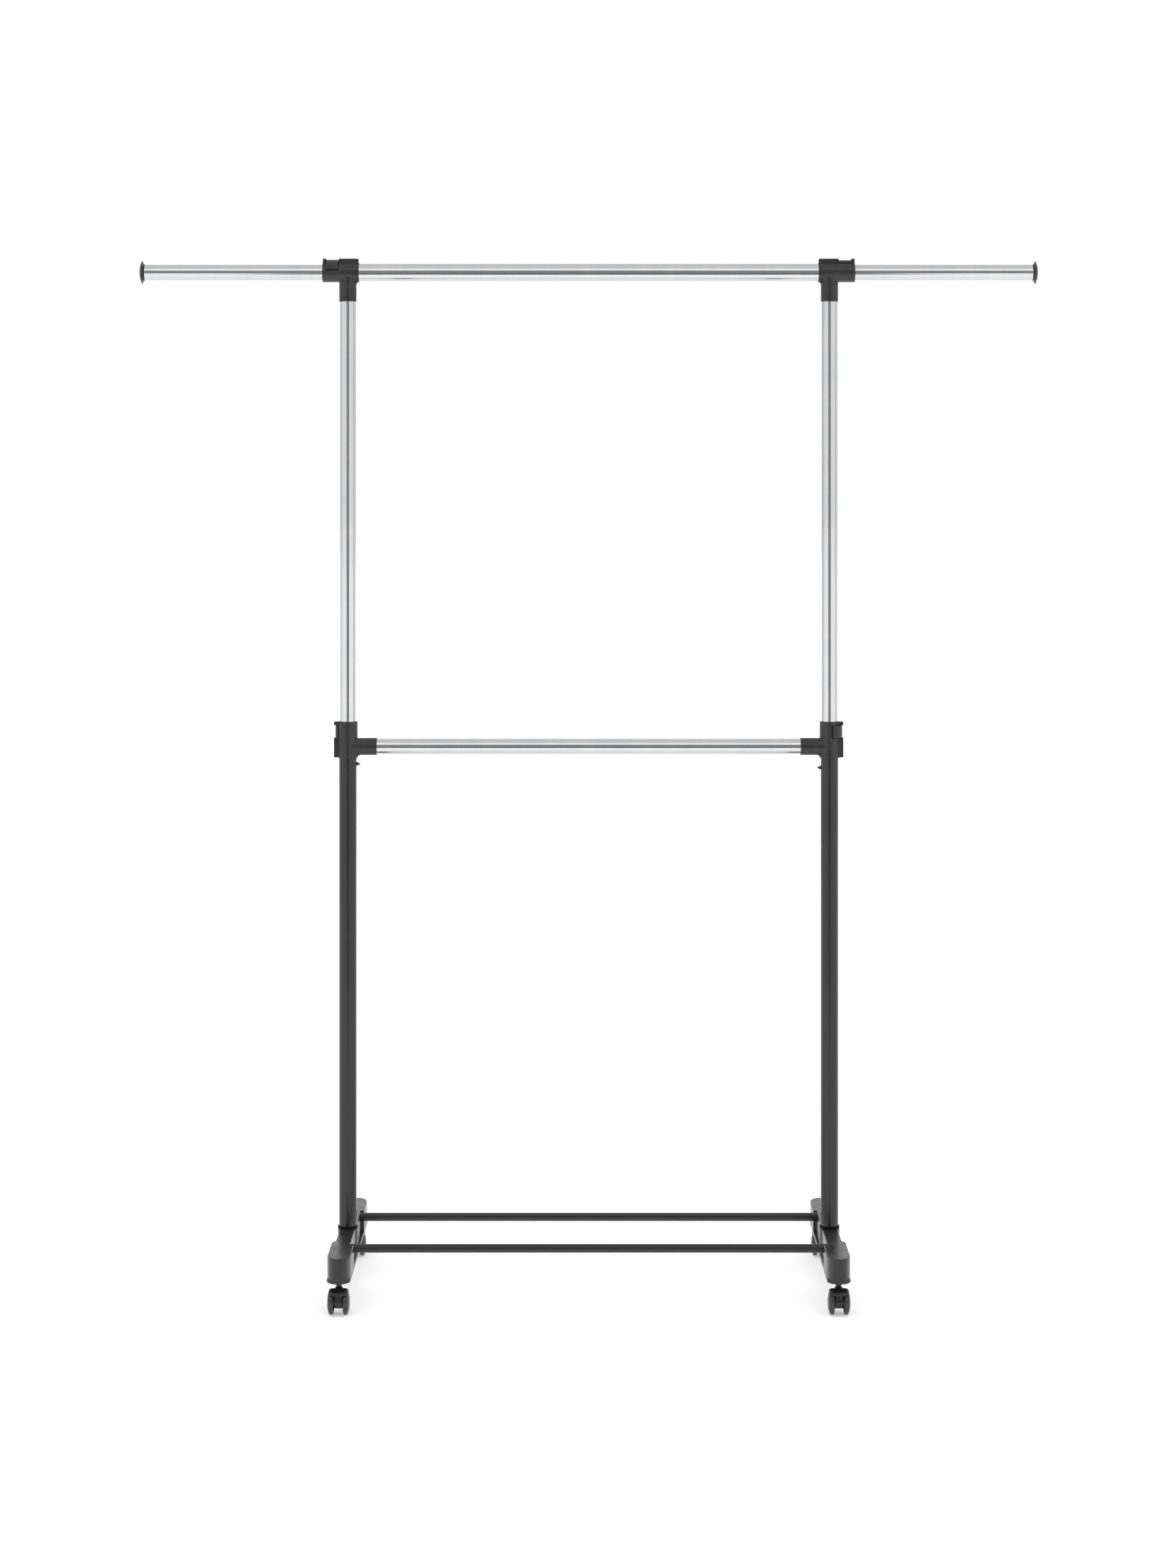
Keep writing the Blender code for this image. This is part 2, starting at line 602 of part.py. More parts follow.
def add_lower_tube(name, side):
    """A black upright with the hole for its stop stud on the inner side."""
    low = SOCKET_FLOOR + GAP
    high = LOWER_RAIL_Z + SHOULDER - GAP
    hole = turned_to_x(cylinder(STUD_HOLE_R, WIDE_BORE_R - OVERSHOOT, WIDE_R + OVERSHOOT, SMALL_STEPS))
    mesh = combined(
        cylinder(WIDE_R, low, high),
        ("DIFFERENCE", cylinder(WIDE_BORE_R, low - OVERSHOOT, high + OVERSHOOT)),
        ("DIFFERENCE", moved(hole, z=STUD_Z[name])),
    )
    turn = math.pi if side > 0 else 0
    tube = add(f"{name}_lower_tube", mesh, "powder_coat", (side * HALF_SPAN, 0, 0), (0, 0, turn))
    stud = [(0, STUD_HEAD), *STUD_CONE, (STUD_R, GAP), (STUD_R, -STUD_TAIL), (0, -STUD_TAIL)]
    turned(f"{name}_stop_stud", stud, "moulding", (WIDE_R, 0, STUD_Z[name]), ALONG_X, tube, closed=False,
           steps=SMALL_STEPS)


def add_glide(name, location, rotation, parent):
    """The plug in a slim tube's inner end, whose flange slides in the wide tube; +Z points into the tube."""
    profile = [(PLUG_R, GLIDE_LENGTH), (PLUG_R, -GAP), (GLIDE_R, -GAP), (GLIDE_R, -GAP - GLIDE_FLANGE),
               (PLUG_BORE_R, -GAP - GLIDE_FLANGE), (PLUG_BORE_R, GLIDE_LENGTH)]
    turned(name, profile, "glide", location, rotation, parent)


def add_upright(name, side, upper_frame):
    """A chrome upright, hung in its tee's arm, and its glide."""
    frame_x = side * HALF_SPAN
    high = -ARM_FLOOR - GAP
    low = UPPER_TUBE_FOOT_Z - TOP_RAIL_Z
    turned(f"{name}_upper_tube", tube_profile(SLIM_R, SLIM_BORE_R, low, high), "chrome", (frame_x, 0, 0),
           parent=upper_frame)
    add_glide(f"{name}_upright_glide", (frame_x, 0, low), (0, 0, 0), upper_frame)


def add_extension(name, side, upper_frame):
    """A chrome extension of the top rail, with its glide and end cap."""
    turn = ALONG_X if side > 0 else AGAINST_X
    slider = empty(f"{name}_extension", (side * HALF_SPAN, 0, 0), upper_frame)
    cap_face = RACK_HALF_WIDTH - CAP_HIGH - HALF_SPAN
    inner = EXTENSION_INNER_X - HALF_SPAN
    profile = tube_profile(SLIM_R, SLIM_BORE_R, inner, cap_face - GAP)
    turned(f"{name}_extension_tube", profile, "chrome", (0, 0, 0), turn, slider)
    add_glide(f"{name}_extension_glide", (side * inner, 0, 0), turn, slider)
    shell = [(0, CAP_HIGH), *CAP_DOME, (CAP_R, CAP_RIM_HIGH), (CAP_R, CAP_RIM_LOW),
             (CAP_COLLAR_R, CAP_COLLAR_HIGH), (CAP_COLLAR_R, 0)]
    plug = [(PLUG_R, 0), (PLUG_R, -CAP_PLUG), (PLUG_BORE_R, -CAP_PLUG), (PLUG_BORE_R, CAP_WALL), (0, CAP_WALL)]
    turned(f"{name}_end_cap", shell + plug, "moulding", (side * cap_face, 0, 0), turn, slider, closed=False)


def build_base(tee, lever):
    """Everything that stands on the floor and doesn't slide."""
    foot = foot_mesh()
    hood = hood_mesh()
    for name, side in (("left", -1), ("right", 1)):
        turn = math.pi if side > 0 else 0
        body = add(f"{name}_foot", foot, "moulding", (side * HALF_SPAN, 0, 0), (0, 0, turn))
        add_lower_tube(name, side)
        add_tee(f"{name}_mid", tee, lever, (side * HALF_SPAN, 0, LOWER_RAIL_Z), (0, 0, turn))
        for end, y_side in (("front", -1), ("rear", 1)):
            # The right foot is turned half round, so its own Y runs the other way
            add_rod_bolt(f"{name}_{end}_rod_bolt", body, -side * y_side * ROD_Y)
            add_caster(f"{name}_{end}", side * HALF_SPAN, y_side * STEM_Y, hood)
    add_rod("front_rod", -ROD_Y)
    add_rod("rear_rod", ROD_Y)
    half = HALF_SPAN - ARM_FLOOR - GAP
    profile = tube_profile(SLIM_R, SLIM_BORE_R, -half, half)
    turned("lower_rail", profile, "chrome", (0, 0, LOWER_RAIL_Z), ALONG_X)


def build_upper_frame(tee, lever):
    """The part that slides up and down in the black uprights."""
    upper_frame = empty("upper_frame", (0, 0, TOP_RAIL_Z))
    half = HALF_SPAN + SHOULDER - GAP
    profile = tube_profile(WIDE_R, WIDE_BORE_R, -half, half)
    turned("top_rail", profile, "chrome", (0, 0, 0), ALONG_X, upper_frame)
    for name, side in (("left", -1), ("right", 1)):
        turn = (0, math.pi / 2, 0 if side > 0 else math.pi)
        add_tee(f"{name}_upper", tee, lever, (side * HALF_SPAN, 0, 0), turn, upper_frame)
        add_upright(name, side, upper_frame)
        add_extension(name, side, upper_frame)


TEE = tee_mesh()
LEVER = lever_mesh()
build_base(TEE, LEVER)
build_upper_frame(TEE, LEVER)
bpy.context.view_layer.update()
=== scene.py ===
"""Looks of the rolling clothes rack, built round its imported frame. Metres, +Z up, front towards -Y."""
import json
import math

import bmesh
import bpy
from mathutils import Euler, Matrix, Vector
from mathutils.bvhtree import BVHTree


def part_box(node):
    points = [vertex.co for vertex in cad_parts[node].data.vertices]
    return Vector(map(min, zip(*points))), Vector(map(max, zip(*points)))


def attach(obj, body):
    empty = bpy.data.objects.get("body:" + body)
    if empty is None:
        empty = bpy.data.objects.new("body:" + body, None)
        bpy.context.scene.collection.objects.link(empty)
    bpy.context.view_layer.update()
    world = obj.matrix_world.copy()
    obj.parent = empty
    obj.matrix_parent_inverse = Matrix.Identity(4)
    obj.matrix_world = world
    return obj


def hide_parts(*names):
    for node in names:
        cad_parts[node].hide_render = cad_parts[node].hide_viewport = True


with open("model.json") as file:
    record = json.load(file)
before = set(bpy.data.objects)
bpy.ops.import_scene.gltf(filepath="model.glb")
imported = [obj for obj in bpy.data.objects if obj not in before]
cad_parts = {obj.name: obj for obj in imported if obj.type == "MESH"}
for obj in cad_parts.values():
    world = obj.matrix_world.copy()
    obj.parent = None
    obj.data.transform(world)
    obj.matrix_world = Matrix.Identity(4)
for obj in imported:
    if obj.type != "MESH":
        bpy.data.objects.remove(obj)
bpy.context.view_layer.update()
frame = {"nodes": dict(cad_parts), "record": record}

MM = 0.001
SIDES = (("left", -1), ("right", 1))
ENDS = (("front", -1), ("rear", 1))

# What the frame says of each node: the body that it rides on and its material slot
BODY_OF = {node: body for body, nodes in frame["record"]["behaviour"]["bodies"].items() for node in nodes}
SLOT_OF = {row["node"]: row["material_slot"] for row in frame["record"]["subparts"]}


def centre(node):
    """The middle of a node's box."""
    low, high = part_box(node)
    return (low + high) / 2


# What the frame says of the tubes, rods and stems: where they run and how thick they are
HALF_SPAN = centre("right_lower_tube").x
TOP_RAIL_Z = centre("top_rail").z
LOWER_RAIL_Z = centre("lower_rail").z
WIDE_R = (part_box("top_rail")[1].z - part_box("top_rail")[0].z) / 2
SLIM_R = (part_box("lower_rail")[1].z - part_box("lower_rail")[0].z) / 2
ROD_R = (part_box("front_rod")[1].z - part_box("front_rod")[0].z) / 2
ROD_Y = centre("rear_rod").y
ROD_Z = centre("rear_rod").z
STEM_Y = centre("left_rear_caster_stem").y

# Tube walls, the play between pieces, and how far solids run into and cutters run past one another
WALL = 0.8 * MM
GAP = 0.3 * MM
OVERLAP = 2.0 * MM
OVERSHOOT = 5.0 * MM

# Tee connector, in its own frame: sleeve along Z with the clamp at +Z, arm along +X, rib along -X
SLEEVE_R = 15.75 * MM
SLEEVE_LOW = -18.3 * MM
SLEEVE_HIGH = 40.5 * MM
SHOULDER = 6.0 * MM
ARM_R = 13.9 * MM
ARM_START = 8.0 * MM
ARM_END = 47.0 * MM
ARM_FLOOR = 16.0 * MM
RIB_TOP = 22.2 * MM
RIB_ROOT = 10.0 * MM
RIB_HALF_WIDTH = 6.0 * MM
RIB_CORNER = 1.6 * MM
TEE_ROUNDING = 0.7 * MM
RIB_LOW = -17.3 * MM
RIB_HIGH = 40.2 * MM
WEB_HALF_WIDTH = 5.0 * MM

# Clamp lever on the tee; angles run from the +Y side (0) past the rib (90)
WINDOW_LOW = 14.4 * MM
WINDOW_HIGH = 34.6 * MM
WINDOW_FROM = 24.0
WINDOW_TO = 114.0
WINDOW_INNER_R = 11.0 * MM
WINDOW_OUTER_R = 40.0 * MM
NOTCH_FROM = 8.0
NOTCH_TO = 30.0
NOTCH_FLOOR_R = 13.6 * MM
LEVER_CLEARANCE = 0.4 * MM
LEVER_TIP_ANGLE = 18.0
LEVER_ROOT_ANGLE = 80.0
LEVER_TIP_R = 16.9 * MM
LEVER_ROOT_R = 20.7 * MM
LEVER_TIP_INNER_R = 14.3 * MM
LEVER_ROOT_INNER_R = 13.3 * MM
PIVOT_X = -16.0 * MM
PIVOT_Y = -3.0 * MM
GRIP_ANGLES = (26.0, 32.0, 38.0)
GRIP_R = 0.45 * MM
GRIP_INSET = 3.0 * MM
BARREL_R = 3.1 * MM
BARREL_FROM = 170.0
BARREL_TO = 375.0
PIN_R = 1.2 * MM
PIN_HOLE_R = 1.5 * MM
PIN_LOW = 8.0 * MM
PIN_HIGH = SLEEVE_HIGH - 0.8 * MM

# Foot, in its own frame: origin on the floor under the upright, +X towards the rack's middle
FOOT_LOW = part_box("left_foot")[0].z
FOOT_HALF_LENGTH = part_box("left_foot")[1].y
BOSS_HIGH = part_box("left_foot")[1].z
RING_HIGH = 3.4 * MM
FOOT_HIGH = 88.0 * MM
FLANGE_HALF_WIDTH = 18.5 * MM
FLANGE_HIGH = 54.0 * MM
FLANGE_ROUNDING = 1.2 * MM
BLOCK_HALF_WIDTH = 18.2 * MM
BLOCK_OUTER_Y = 97.0 * MM
BLOCK_INNER_Y = 117.5 * MM
BLOCK_CORNER = 1.5 * MM
STEP_CORNER = 2.0 * MM
WAIST_CORNER = 1.2 * MM
NOSE_LENGTH = 29.5 * MM
NOSE_Y = 185.0 * MM
STEP_RUN = 5.0 * MM
WAIST_HALF_WIDTH = 12.5 * MM
TOP_ROUNDING = 3.0 * MM
BOSS_R = 16.0 * MM
SOCKET_FLOOR = 55.5 * MM
WAIST_POCKET_HALF_WIDTH = 9.0 * MM
WAIST_POCKET_Y = (21.0 * MM, 97.0 * MM)
WAIST_POCKET_HIGH = 81.0 * MM
BLOCK_POCKET_HALF_WIDTH = 14.0 * MM
BLOCK_POCKET_Y = (119.0 * MM, 183.0 * MM)
BLOCK_POCKET_HIGH = 83.0 * MM
ROD_END = -9.5 * MM
BOLT_HOLE_R = 3.3 * MM
BOLT_SEAT = -15.2 * MM
BOLT_HEAD_R = 5.2 * MM
BOLT_HEAD = 2.4 * MM
BOLT_R = 3.0 * MM
BOLT_LENGTH = 22.0 * MM
BOLT_KEY_R = 2.3 * MM
BOLT_KEY_DEPTH = 1.7 * MM
SEAT_R = 6.0 * MM
ACROSS_FOOT = 40.0 * MM
DIMPLE_R = 1.4 * MM
DIMPLE_DEPTH = 2.0 * MM
DIMPLE_X = 12.0 * MM
DIMPLE_Y = 138.0 * MM

# Caster, in its own frame: origin on the floor under the stem, trailing towards -Y
TRAIL = 9.5 * MM
WHEEL_R = 18.5 * MM
WHEEL_INNER = 7.5 * MM
WHEEL_OUTER = 17.4 * MM
AXLE_HOLE_R = 1.8 * MM
AXLE_HALF_LENGTH = 14.4 * MM
STEM_R = 4.0 * MM
STEM_HOLE_R = 4.3 * MM
STEM_LOW = 27.8 * MM
STEM_HIGH = 79.5 * MM
COLLAR_R = 5.6 * MM
COLLAR_LOW = 45.8 * MM
NECK_R = 4.3 * MM
HOOD_R = 21.2 * MM
HOOD_INNER_R = 19.3 * MM
HOOD_HALF_WIDTH = 14.9 * MM
HOOD_MOUTH_R = 18.3 * MM
HOOD_INNER_FLAT = 11.5 * MM
HOOD_HIGH = WHEEL_R + HOOD_R
HOOD_FROM = 40.0
HOOD_TO = 186.0
HOOD_BOSS_R = 6.0 * MM
HOOD_BOSS_LOW = 23.8 * MM
FORK_R = 9.5 * MM
FORK_FROM = 72.0
FORK_SETBACK = 3.0
FORK_FOOT_FROM = 20.0
FORK_FOOT_SETBACK = 10.0
FORK_HALF_WIDTH = 6.2 * MM

# End cap, and the stop studs under the mid tees
CAP_R = 18.3 * MM
CAP_COLLAR_R = 13.4 * MM
CAP_HIGH = 8.0 * MM
CAP_WALL = 1.5 * MM
CAP_PLUG = 18.0 * MM
PLUG_R = SLIM_R - WALL - GAP
PLUG_BORE_R = 9.4 * MM
STUD_HEAD = 5.8 * MM
STUD_HEAD_R = 3.4 * MM
STUD_R = 2.5 * MM
STUD_TAIL = 0.9 * MM

# Steps round a turned shape, by its size
TUBE_STEPS = 96
STEEL_STEPS = 48
SMALL_STEPS = 32

# Voxels of the mouldings, which set how far their edges soften
TEE_VOXEL = 0.45 * MM
LEVER_VOXEL = 0.3 * MM
FOOT_VOXEL = 0.65 * MM
HOOD_VOXEL = 0.35 * MM

# Edges that turn by more degrees than this shade sharp
STEEL_SHARP = 30
MOULDED_SHARP = 60

# The camera; the shift puts the picture's centre below its level line
CAMERA_DISTANCE = 5.3
CAMERA_X = -0.0019
CAMERA_HEIGHT = 1.32
LENS = 75.68
SENSOR = 36.0
SHIFT_Y = -0.206


# ---------------------------------------------------------------- shapes

# Points nearer than this are one, heights nearer than this are the same, and a rounding takes no more than
# this share of the stretches beside it
WELD = 0.002 * MM
SAME_HEIGHT = 0.0001 * MM
NEARLY_HALF = 0.48


def rounded(corners, closed=True, steps=4):
    """A chain of (x, y, radius) corners, each rounded to its radius."""
    points = []
    for i, (x, y, radius) in enumerate(corners):
        here = Vector((x, y))
        if radius == 0 or (not closed and i in (0, len(corners) - 1)):
            points.append(here)
            continue
        back = Vector(corners[i - 1][:2]) - here
        ahead = Vector(corners[(i + 1) % len(corners)][:2]) - here
        half = back.angle(ahead) / 2
        reach = min(radius / math.tan(half), NEARLY_HALF * back.length, NEARLY_HALF * ahead.length)
        middle = here + (back.normalized() + ahead.normalized()).normalized() * reach / math.cos(half)
        first = here + back.normalized() * reach - middle
        last = here + ahead.normalized() * reach - middle
        turn = first.angle_signed(last)
        points += [middle + Matrix.Rotation(-turn * k / steps, 2) @ first for k in range(steps + 1)]
    return [tuple(point) for point in points]


def held(points, closed=True, margin=0.4 * MM, longest=5 * MM):
    """A chain with more points near the ends of its long stretches, which keep those faces' shading even."""
    result = []
    for i, start in enumerate(points):
        result.append(start)
        if not closed and i == len(points) - 1:
            break
        start, end = Vector(start), Vector(points[(i + 1) % len(points)])
        if (end - start).length > longest:
            step = (end - start).normalized() * margin
            result += [tuple(start + step), tuple(end - step)]
    return result


def arc(radius, start, end, steps, x=0, y=0):
    """Points on an arc about (x, y), in degrees from +X."""
    angles = [math.radians(start + (end - start) * i / steps) for i in range(steps + 1)]
    return [(x + radius * math.cos(a), y + radius * math.sin(a)) for a in angles]


def clamp_arc(radius_from, radius_to, start, end, steps):
    """An arc round the tee's sleeve, by its angle from +Y towards the rib, whose radius changes evenly."""
    points = []
    for i in range(steps + 1):
        radius = radius_from + (radius_to - radius_from) * i / steps
        angle = math.radians(start + (end - start) * i / steps)
        points.append((-radius * math.sin(angle), radius * math.cos(angle)))
    return points


def new_mesh(shell):
    """Turn an edit mesh into a mesh with its faces outwards."""
    bmesh.ops.remove_doubles(shell, verts=shell.verts, dist=WELD)
    bmesh.ops.recalc_face_normals(shell, faces=shell.faces)
    mesh = bpy.data.meshes.new("shape")
    shell.to_mesh(mesh)
    shell.free()
    return mesh


def turned(profile, closed=True, steps=TUBE_STEPS):
    """A mesh turned about Z from (radius, height) points."""
    profile = held(profile, closed)
    shell = bmesh.new()
    verts = [shell.verts.new((radius, 0, height)) for radius, height in profile]
    count = len(verts) if closed else len(verts) - 1
    edges = [shell.edges.new((verts[i], verts[(i + 1) % len(verts)])) for i in range(count)]
    bmesh.ops.spin(shell, geom=verts + edges, cent=(0, 0, 0), axis=(0, 0, 1), angle=math.tau, steps=steps,
                   use_merge=True)
    return new_mesh(shell)


def lathed(corners, steps=TUBE_STEPS):
    """A solid turned about Z from the (radius, height, rounding) corners of its outline, axis to axis."""
    return turned(rounded(corners, closed=False), closed=False, steps=steps)


def cylinder(radius, low, high, steps=TUBE_STEPS):
    """A solid cylinder about Z."""
    return lathed([(0, high, 0), (radius, high, 0), (radius, low, 0), (0, low, 0)], steps)


def box(low, high):
    """A block between two corners."""
    size = [b - a for a, b in zip(low, high)]
    middle = [(a + b) / 2 for a, b in zip(low, high)]
    shell = bmesh.new()
    bmesh.ops.create_cube(shell, size=1, matrix=Matrix.LocRotScale(middle, None, size))
    return new_mesh(shell)


def prism(loop, low, high, soften=0.0, softened=("low", "high")):
    """A flat outline thickened along Z, with its named rims rounded."""
    shell = bmesh.new()
    face = shell.faces.new([shell.verts.new((x, y, low)) for x, y in loop])
    top = bmesh.ops.extrude_face_region(shell, geom=[face])
    raised = [item for item in top["geom"] if isinstance(item, bmesh.types.BMVert)]
    bmesh.ops.translate(shell, verts=raised, vec=(0, 0, high - low))
    if soften:
        heights = [{"low": low, "high": high}[name] for name in softened]
        rim = [edge for edge in shell.edges
               if any(all(abs(vert.co.z - z) < SAME_HEIGHT for vert in edge.verts) for z in heights)]
        bmesh.ops.bevel(shell, geom=rim, offset=soften, segments=4, profile=0.5, affect="EDGES",
                        clamp_overlap=True)
    return new_mesh(shell)


def moved(mesh, x=0, y=0, z=0):
    """Shift a shape."""
    mesh.transform(Matrix.Translation((x, y, z)))
    return mesh


def turned_to_x(mesh):
    """Lay a shape made about Z along +X; its own X then points down."""
    mesh.transform(Matrix.Rotation(math.pi / 2, 4, "Y"))
    return mesh


def applied(shape):
    """The mesh that an object's modifiers make, which are then taken off it."""
    graph = bpy.context.evaluated_depsgraph_get()
    mesh = bpy.data.meshes.new_from_object(shape.evaluated_get(graph))
    shape.modifiers.clear()
    return mesh


def flattened(mesh, crisp, agreement=0.9995):
    """Put a softened mesh back on the crisp solid where both face the same way, so flat faces stay flat."""
    shell = bmesh.new()
    shell.from_mesh(crisp)
    surface = BVHTree.FromBMesh(shell)
    shell.free()
    normals = [vertex.normal.copy() for vertex in mesh.vertices]
    for vertex, normal in zip(mesh.vertices, normals):
        spot, facing, _, _ = surface.find_nearest(vertex.co)
        if facing.dot(normal) > agreement:
            vertex.co = spot
    return mesh


def moulded(mesh, steps, voxel, smoothing=4, kept=0.3):
    """Join and cut solids in turn, soften every edge as a mould does, and keep a share of the faces."""
    body = bpy.data.objects.new("body", mesh)
    bpy.context.scene.collection.objects.link(body)
    tools = []
    for operation, tool_mesh in steps:
        tool = bpy.data.objects.new("tool", tool_mesh)
        bpy.context.scene.collection.objects.link(tool)
        tools.append(tool)
        modifier = body.modifiers.new(operation, "BOOLEAN")
        modifier.operation = operation
        modifier.solver = "EXACT"
        modifier.object = tool
    crisp = applied(body)
    for used in tools:
        bpy.data.objects.remove(used)
    body.data = crisp
    skin = body.modifiers.new("skin", "REMESH")
    skin.mode = "VOXEL"
    skin.voxel_size = voxel
    smooth = body.modifiers.new("smooth", "SMOOTH")
    smooth.factor = 0.5
    smooth.iterations = smoothing
    body.data = flattened(applied(body), crisp)
    thin = body.modifiers.new("thin", "DECIMATE")
    thin.ratio = kept
    result = applied(body)
    bpy.data.objects.remove(body)
    return result


# ---------------------------------------------------------------- materials

def shader_of(name):
    """A new material, its node tree and its shader."""
    material = bpy.data.materials.new(name)
    material.use_nodes = True
    tree = material.node_tree
    return material, tree, tree.nodes["Principled BSDF"]


def noise(tree, scale, detail=3.0, roughness=0.5, stretch=(1, 1, 1)):
    """Noise in the piece's own frame, by features a metre, which may be stretched along an axis."""
    place = tree.nodes.new("ShaderNodeTexCoord")
    shape = tree.nodes.new("ShaderNodeMapping")
    shape.inputs["Scale"].default_value = stretch
    texture = tree.nodes.new("ShaderNodeTexNoise")
    texture.inputs["Scale"].default_value = scale
    texture.inputs["Detail"].default_value = detail
    texture.inputs["Roughness"].default_value = roughness
    tree.links.new(place.outputs["Object"], shape.inputs["Vector"])
    tree.links.new(shape.outputs["Vector"], texture.inputs["Vector"])
    return texture.outputs["Fac"]


def ranged(tree, value, low, high, to_low, to_high):
    """A value moved from one range to another, and kept inside it."""
    node = tree.nodes.new("ShaderNodeMapRange")
    node.inputs["From Min"].default_value = low
    node.inputs["From Max"].default_value = high
    node.inputs["To Min"].default_value = to_low
    node.inputs["To Max"].default_value = to_high
    tree.links.new(value, node.inputs["Value"])
    return node.outputs["Result"]


def math_node(tree, operation, first, second):
    """One arithmetic step; the second input may be a number."""
    node = tree.nodes.new("ShaderNodeMath")
    node.operation = operation
    tree.links.new(first, node.inputs[0])
    if isinstance(second, float):
        node.inputs[1].default_value = second
    else:
        tree.links.new(second, node.inputs[1])
    return node.outputs["Value"]


def painted(tree, shader, share, first, second):
    """Give the shader a base colour between two, by a share of the second."""
    node = tree.nodes.new("ShaderNodeMix")
    node.data_type = "RGBA"
    node.inputs["A"].default_value = (*first, 1)
    node.inputs["B"].default_value = (*second, 1)
    tree.links.new(share, node.inputs["Factor"])
    tree.links.new(node.outputs["Result"], shader.inputs["Base Color"])


def bumped(tree, height, distance, strength, under=None):
    """Relief from a height, over any relief that is already there."""
    node = tree.nodes.new("ShaderNodeBump")
    node.inputs["Distance"].default_value = distance
    node.inputs["Strength"].default_value = strength
    tree.links.new(height, node.inputs["Height"])
    if under is not None:
        tree.links.new(under, node.inputs["Normal"])
    return node.outputs["Normal"]


def chrome():
    """Bright plate on drawn tube: fine polishing rings, faint scratches along it and finger marks."""
    material, tree, shader = shader_of("chrome_plate")
    shader.inputs["Metallic"].default_value = 1.0
    shader.inputs["Specular Tint"].default_value = (0.80, 0.80, 0.81, 1)
    rings = noise(tree, 60, 2.0, 0.6, stretch=(1, 1, 22))
    scratches = noise(tree, 900, 2.0, 0.5, stretch=(1, 1, 0.012))
    marks = noise(tree, 26, 4.0, 0.62)
    cloudy = ranged(tree, marks, 0.35, 0.7, 0, 1)
    painted(tree, shader, cloudy, (0.60, 0.605, 0.615), (0.65, 0.65, 0.655))
    film = ranged(tree, marks, 0.48, 0.72, 0.07, 0.13)
    scored = ranged(tree, scratches, 0.60, 0.75, 0.0, 0.05)
    tree.links.new(math_node(tree, "ADD", film, scored), shader.inputs["Roughness"])
    relief = bumped(tree, rings, 0.01 * MM, 0.03)
    tree.links.new(bumped(tree, scratches, 0.01 * MM, 0.03, relief), shader.inputs["Normal"])
    return material


def powder_coat():
    """Black powder coat: orange peel, a little dust in the finish and slight rubbing."""
    material, tree, shader = shader_of("black_powder_coat")
    peel = noise(tree, 620, 2.0, 0.45)
    cloud = noise(tree, 34, 4.0, 0.6)
    rubbing = noise(tree, 240, 3.0, 0.6, stretch=(1, 1, 0.04))
    dust = ranged(tree, cloud, 0.35, 0.7, 0, 0.7)
    rubbed = ranged(tree, rubbing, 0.62, 0.8, 0, 0.6)
    share = math_node(tree, "ADD", dust, rubbed)
    painted(tree, shader, share, (0.010, 0.010, 0.0105), (0.016, 0.016, 0.0165))
    tree.links.new(ranged(tree, cloud, 0.3, 0.7, 0.22, 0.30), shader.inputs["Roughness"])
    tree.links.new(bumped(tree, peel, 0.05 * MM, 0.25), shader.inputs["Normal"])
    return material


def moulding(name, dark, light, rough, grain, split_across=None, gloss=0.5):
    """Black moulded plastic: eroded grain, flow marks, lighter worn edges and perhaps a parting line."""
    material, tree, shader = shader_of(name)
    shader.inputs["Specular IOR Level"].default_value = gloss
    fine = noise(tree, grain, 2.0, 0.5)
    flow = noise(tree, 48, 4.0, 0.6, stretch=(1, 1, 0.5))
    edge = tree.nodes.new("ShaderNodeNewGeometry").outputs["Pointiness"]
    edge_wear = ranged(tree, edge, 0.53, 0.66, 0, 0.8)
    worn = math_node(tree, "MULTIPLY", edge_wear, ranged(tree, flow, 0.4, 0.62, 0.2, 1))
    share = math_node(tree, "ADD", ranged(tree, flow, 0.3, 0.7, 0, 0.55), worn)
    painted(tree, shader, share, dark, light)
    spread = ranged(tree, flow, 0.3, 0.7, rough, rough + 0.10)
    tree.links.new(math_node(tree, "ADD", spread, ranged(tree, fine, 0.3, 0.7, -0.03, 0.04)),
                   shader.inputs["Roughness"])
    relief = bumped(tree, fine, 0.02 * MM, 0.35)
    if split_across:
        split = tree.nodes.new("ShaderNodeSeparateXYZ")
        tree.links.new(tree.nodes.new("ShaderNodeTexCoord").outputs["Object"], split.inputs["Vector"])
        off_line = math_node(tree, "ABSOLUTE", split.outputs[split_across], 0.0)
        line = ranged(tree, off_line, 0.08 * MM, 0.22 * MM, 1, 0)
        relief = bumped(tree, line, 0.05 * MM, 0.5, relief)
    tree.links.new(relief, shader.inputs["Normal"])
    return material


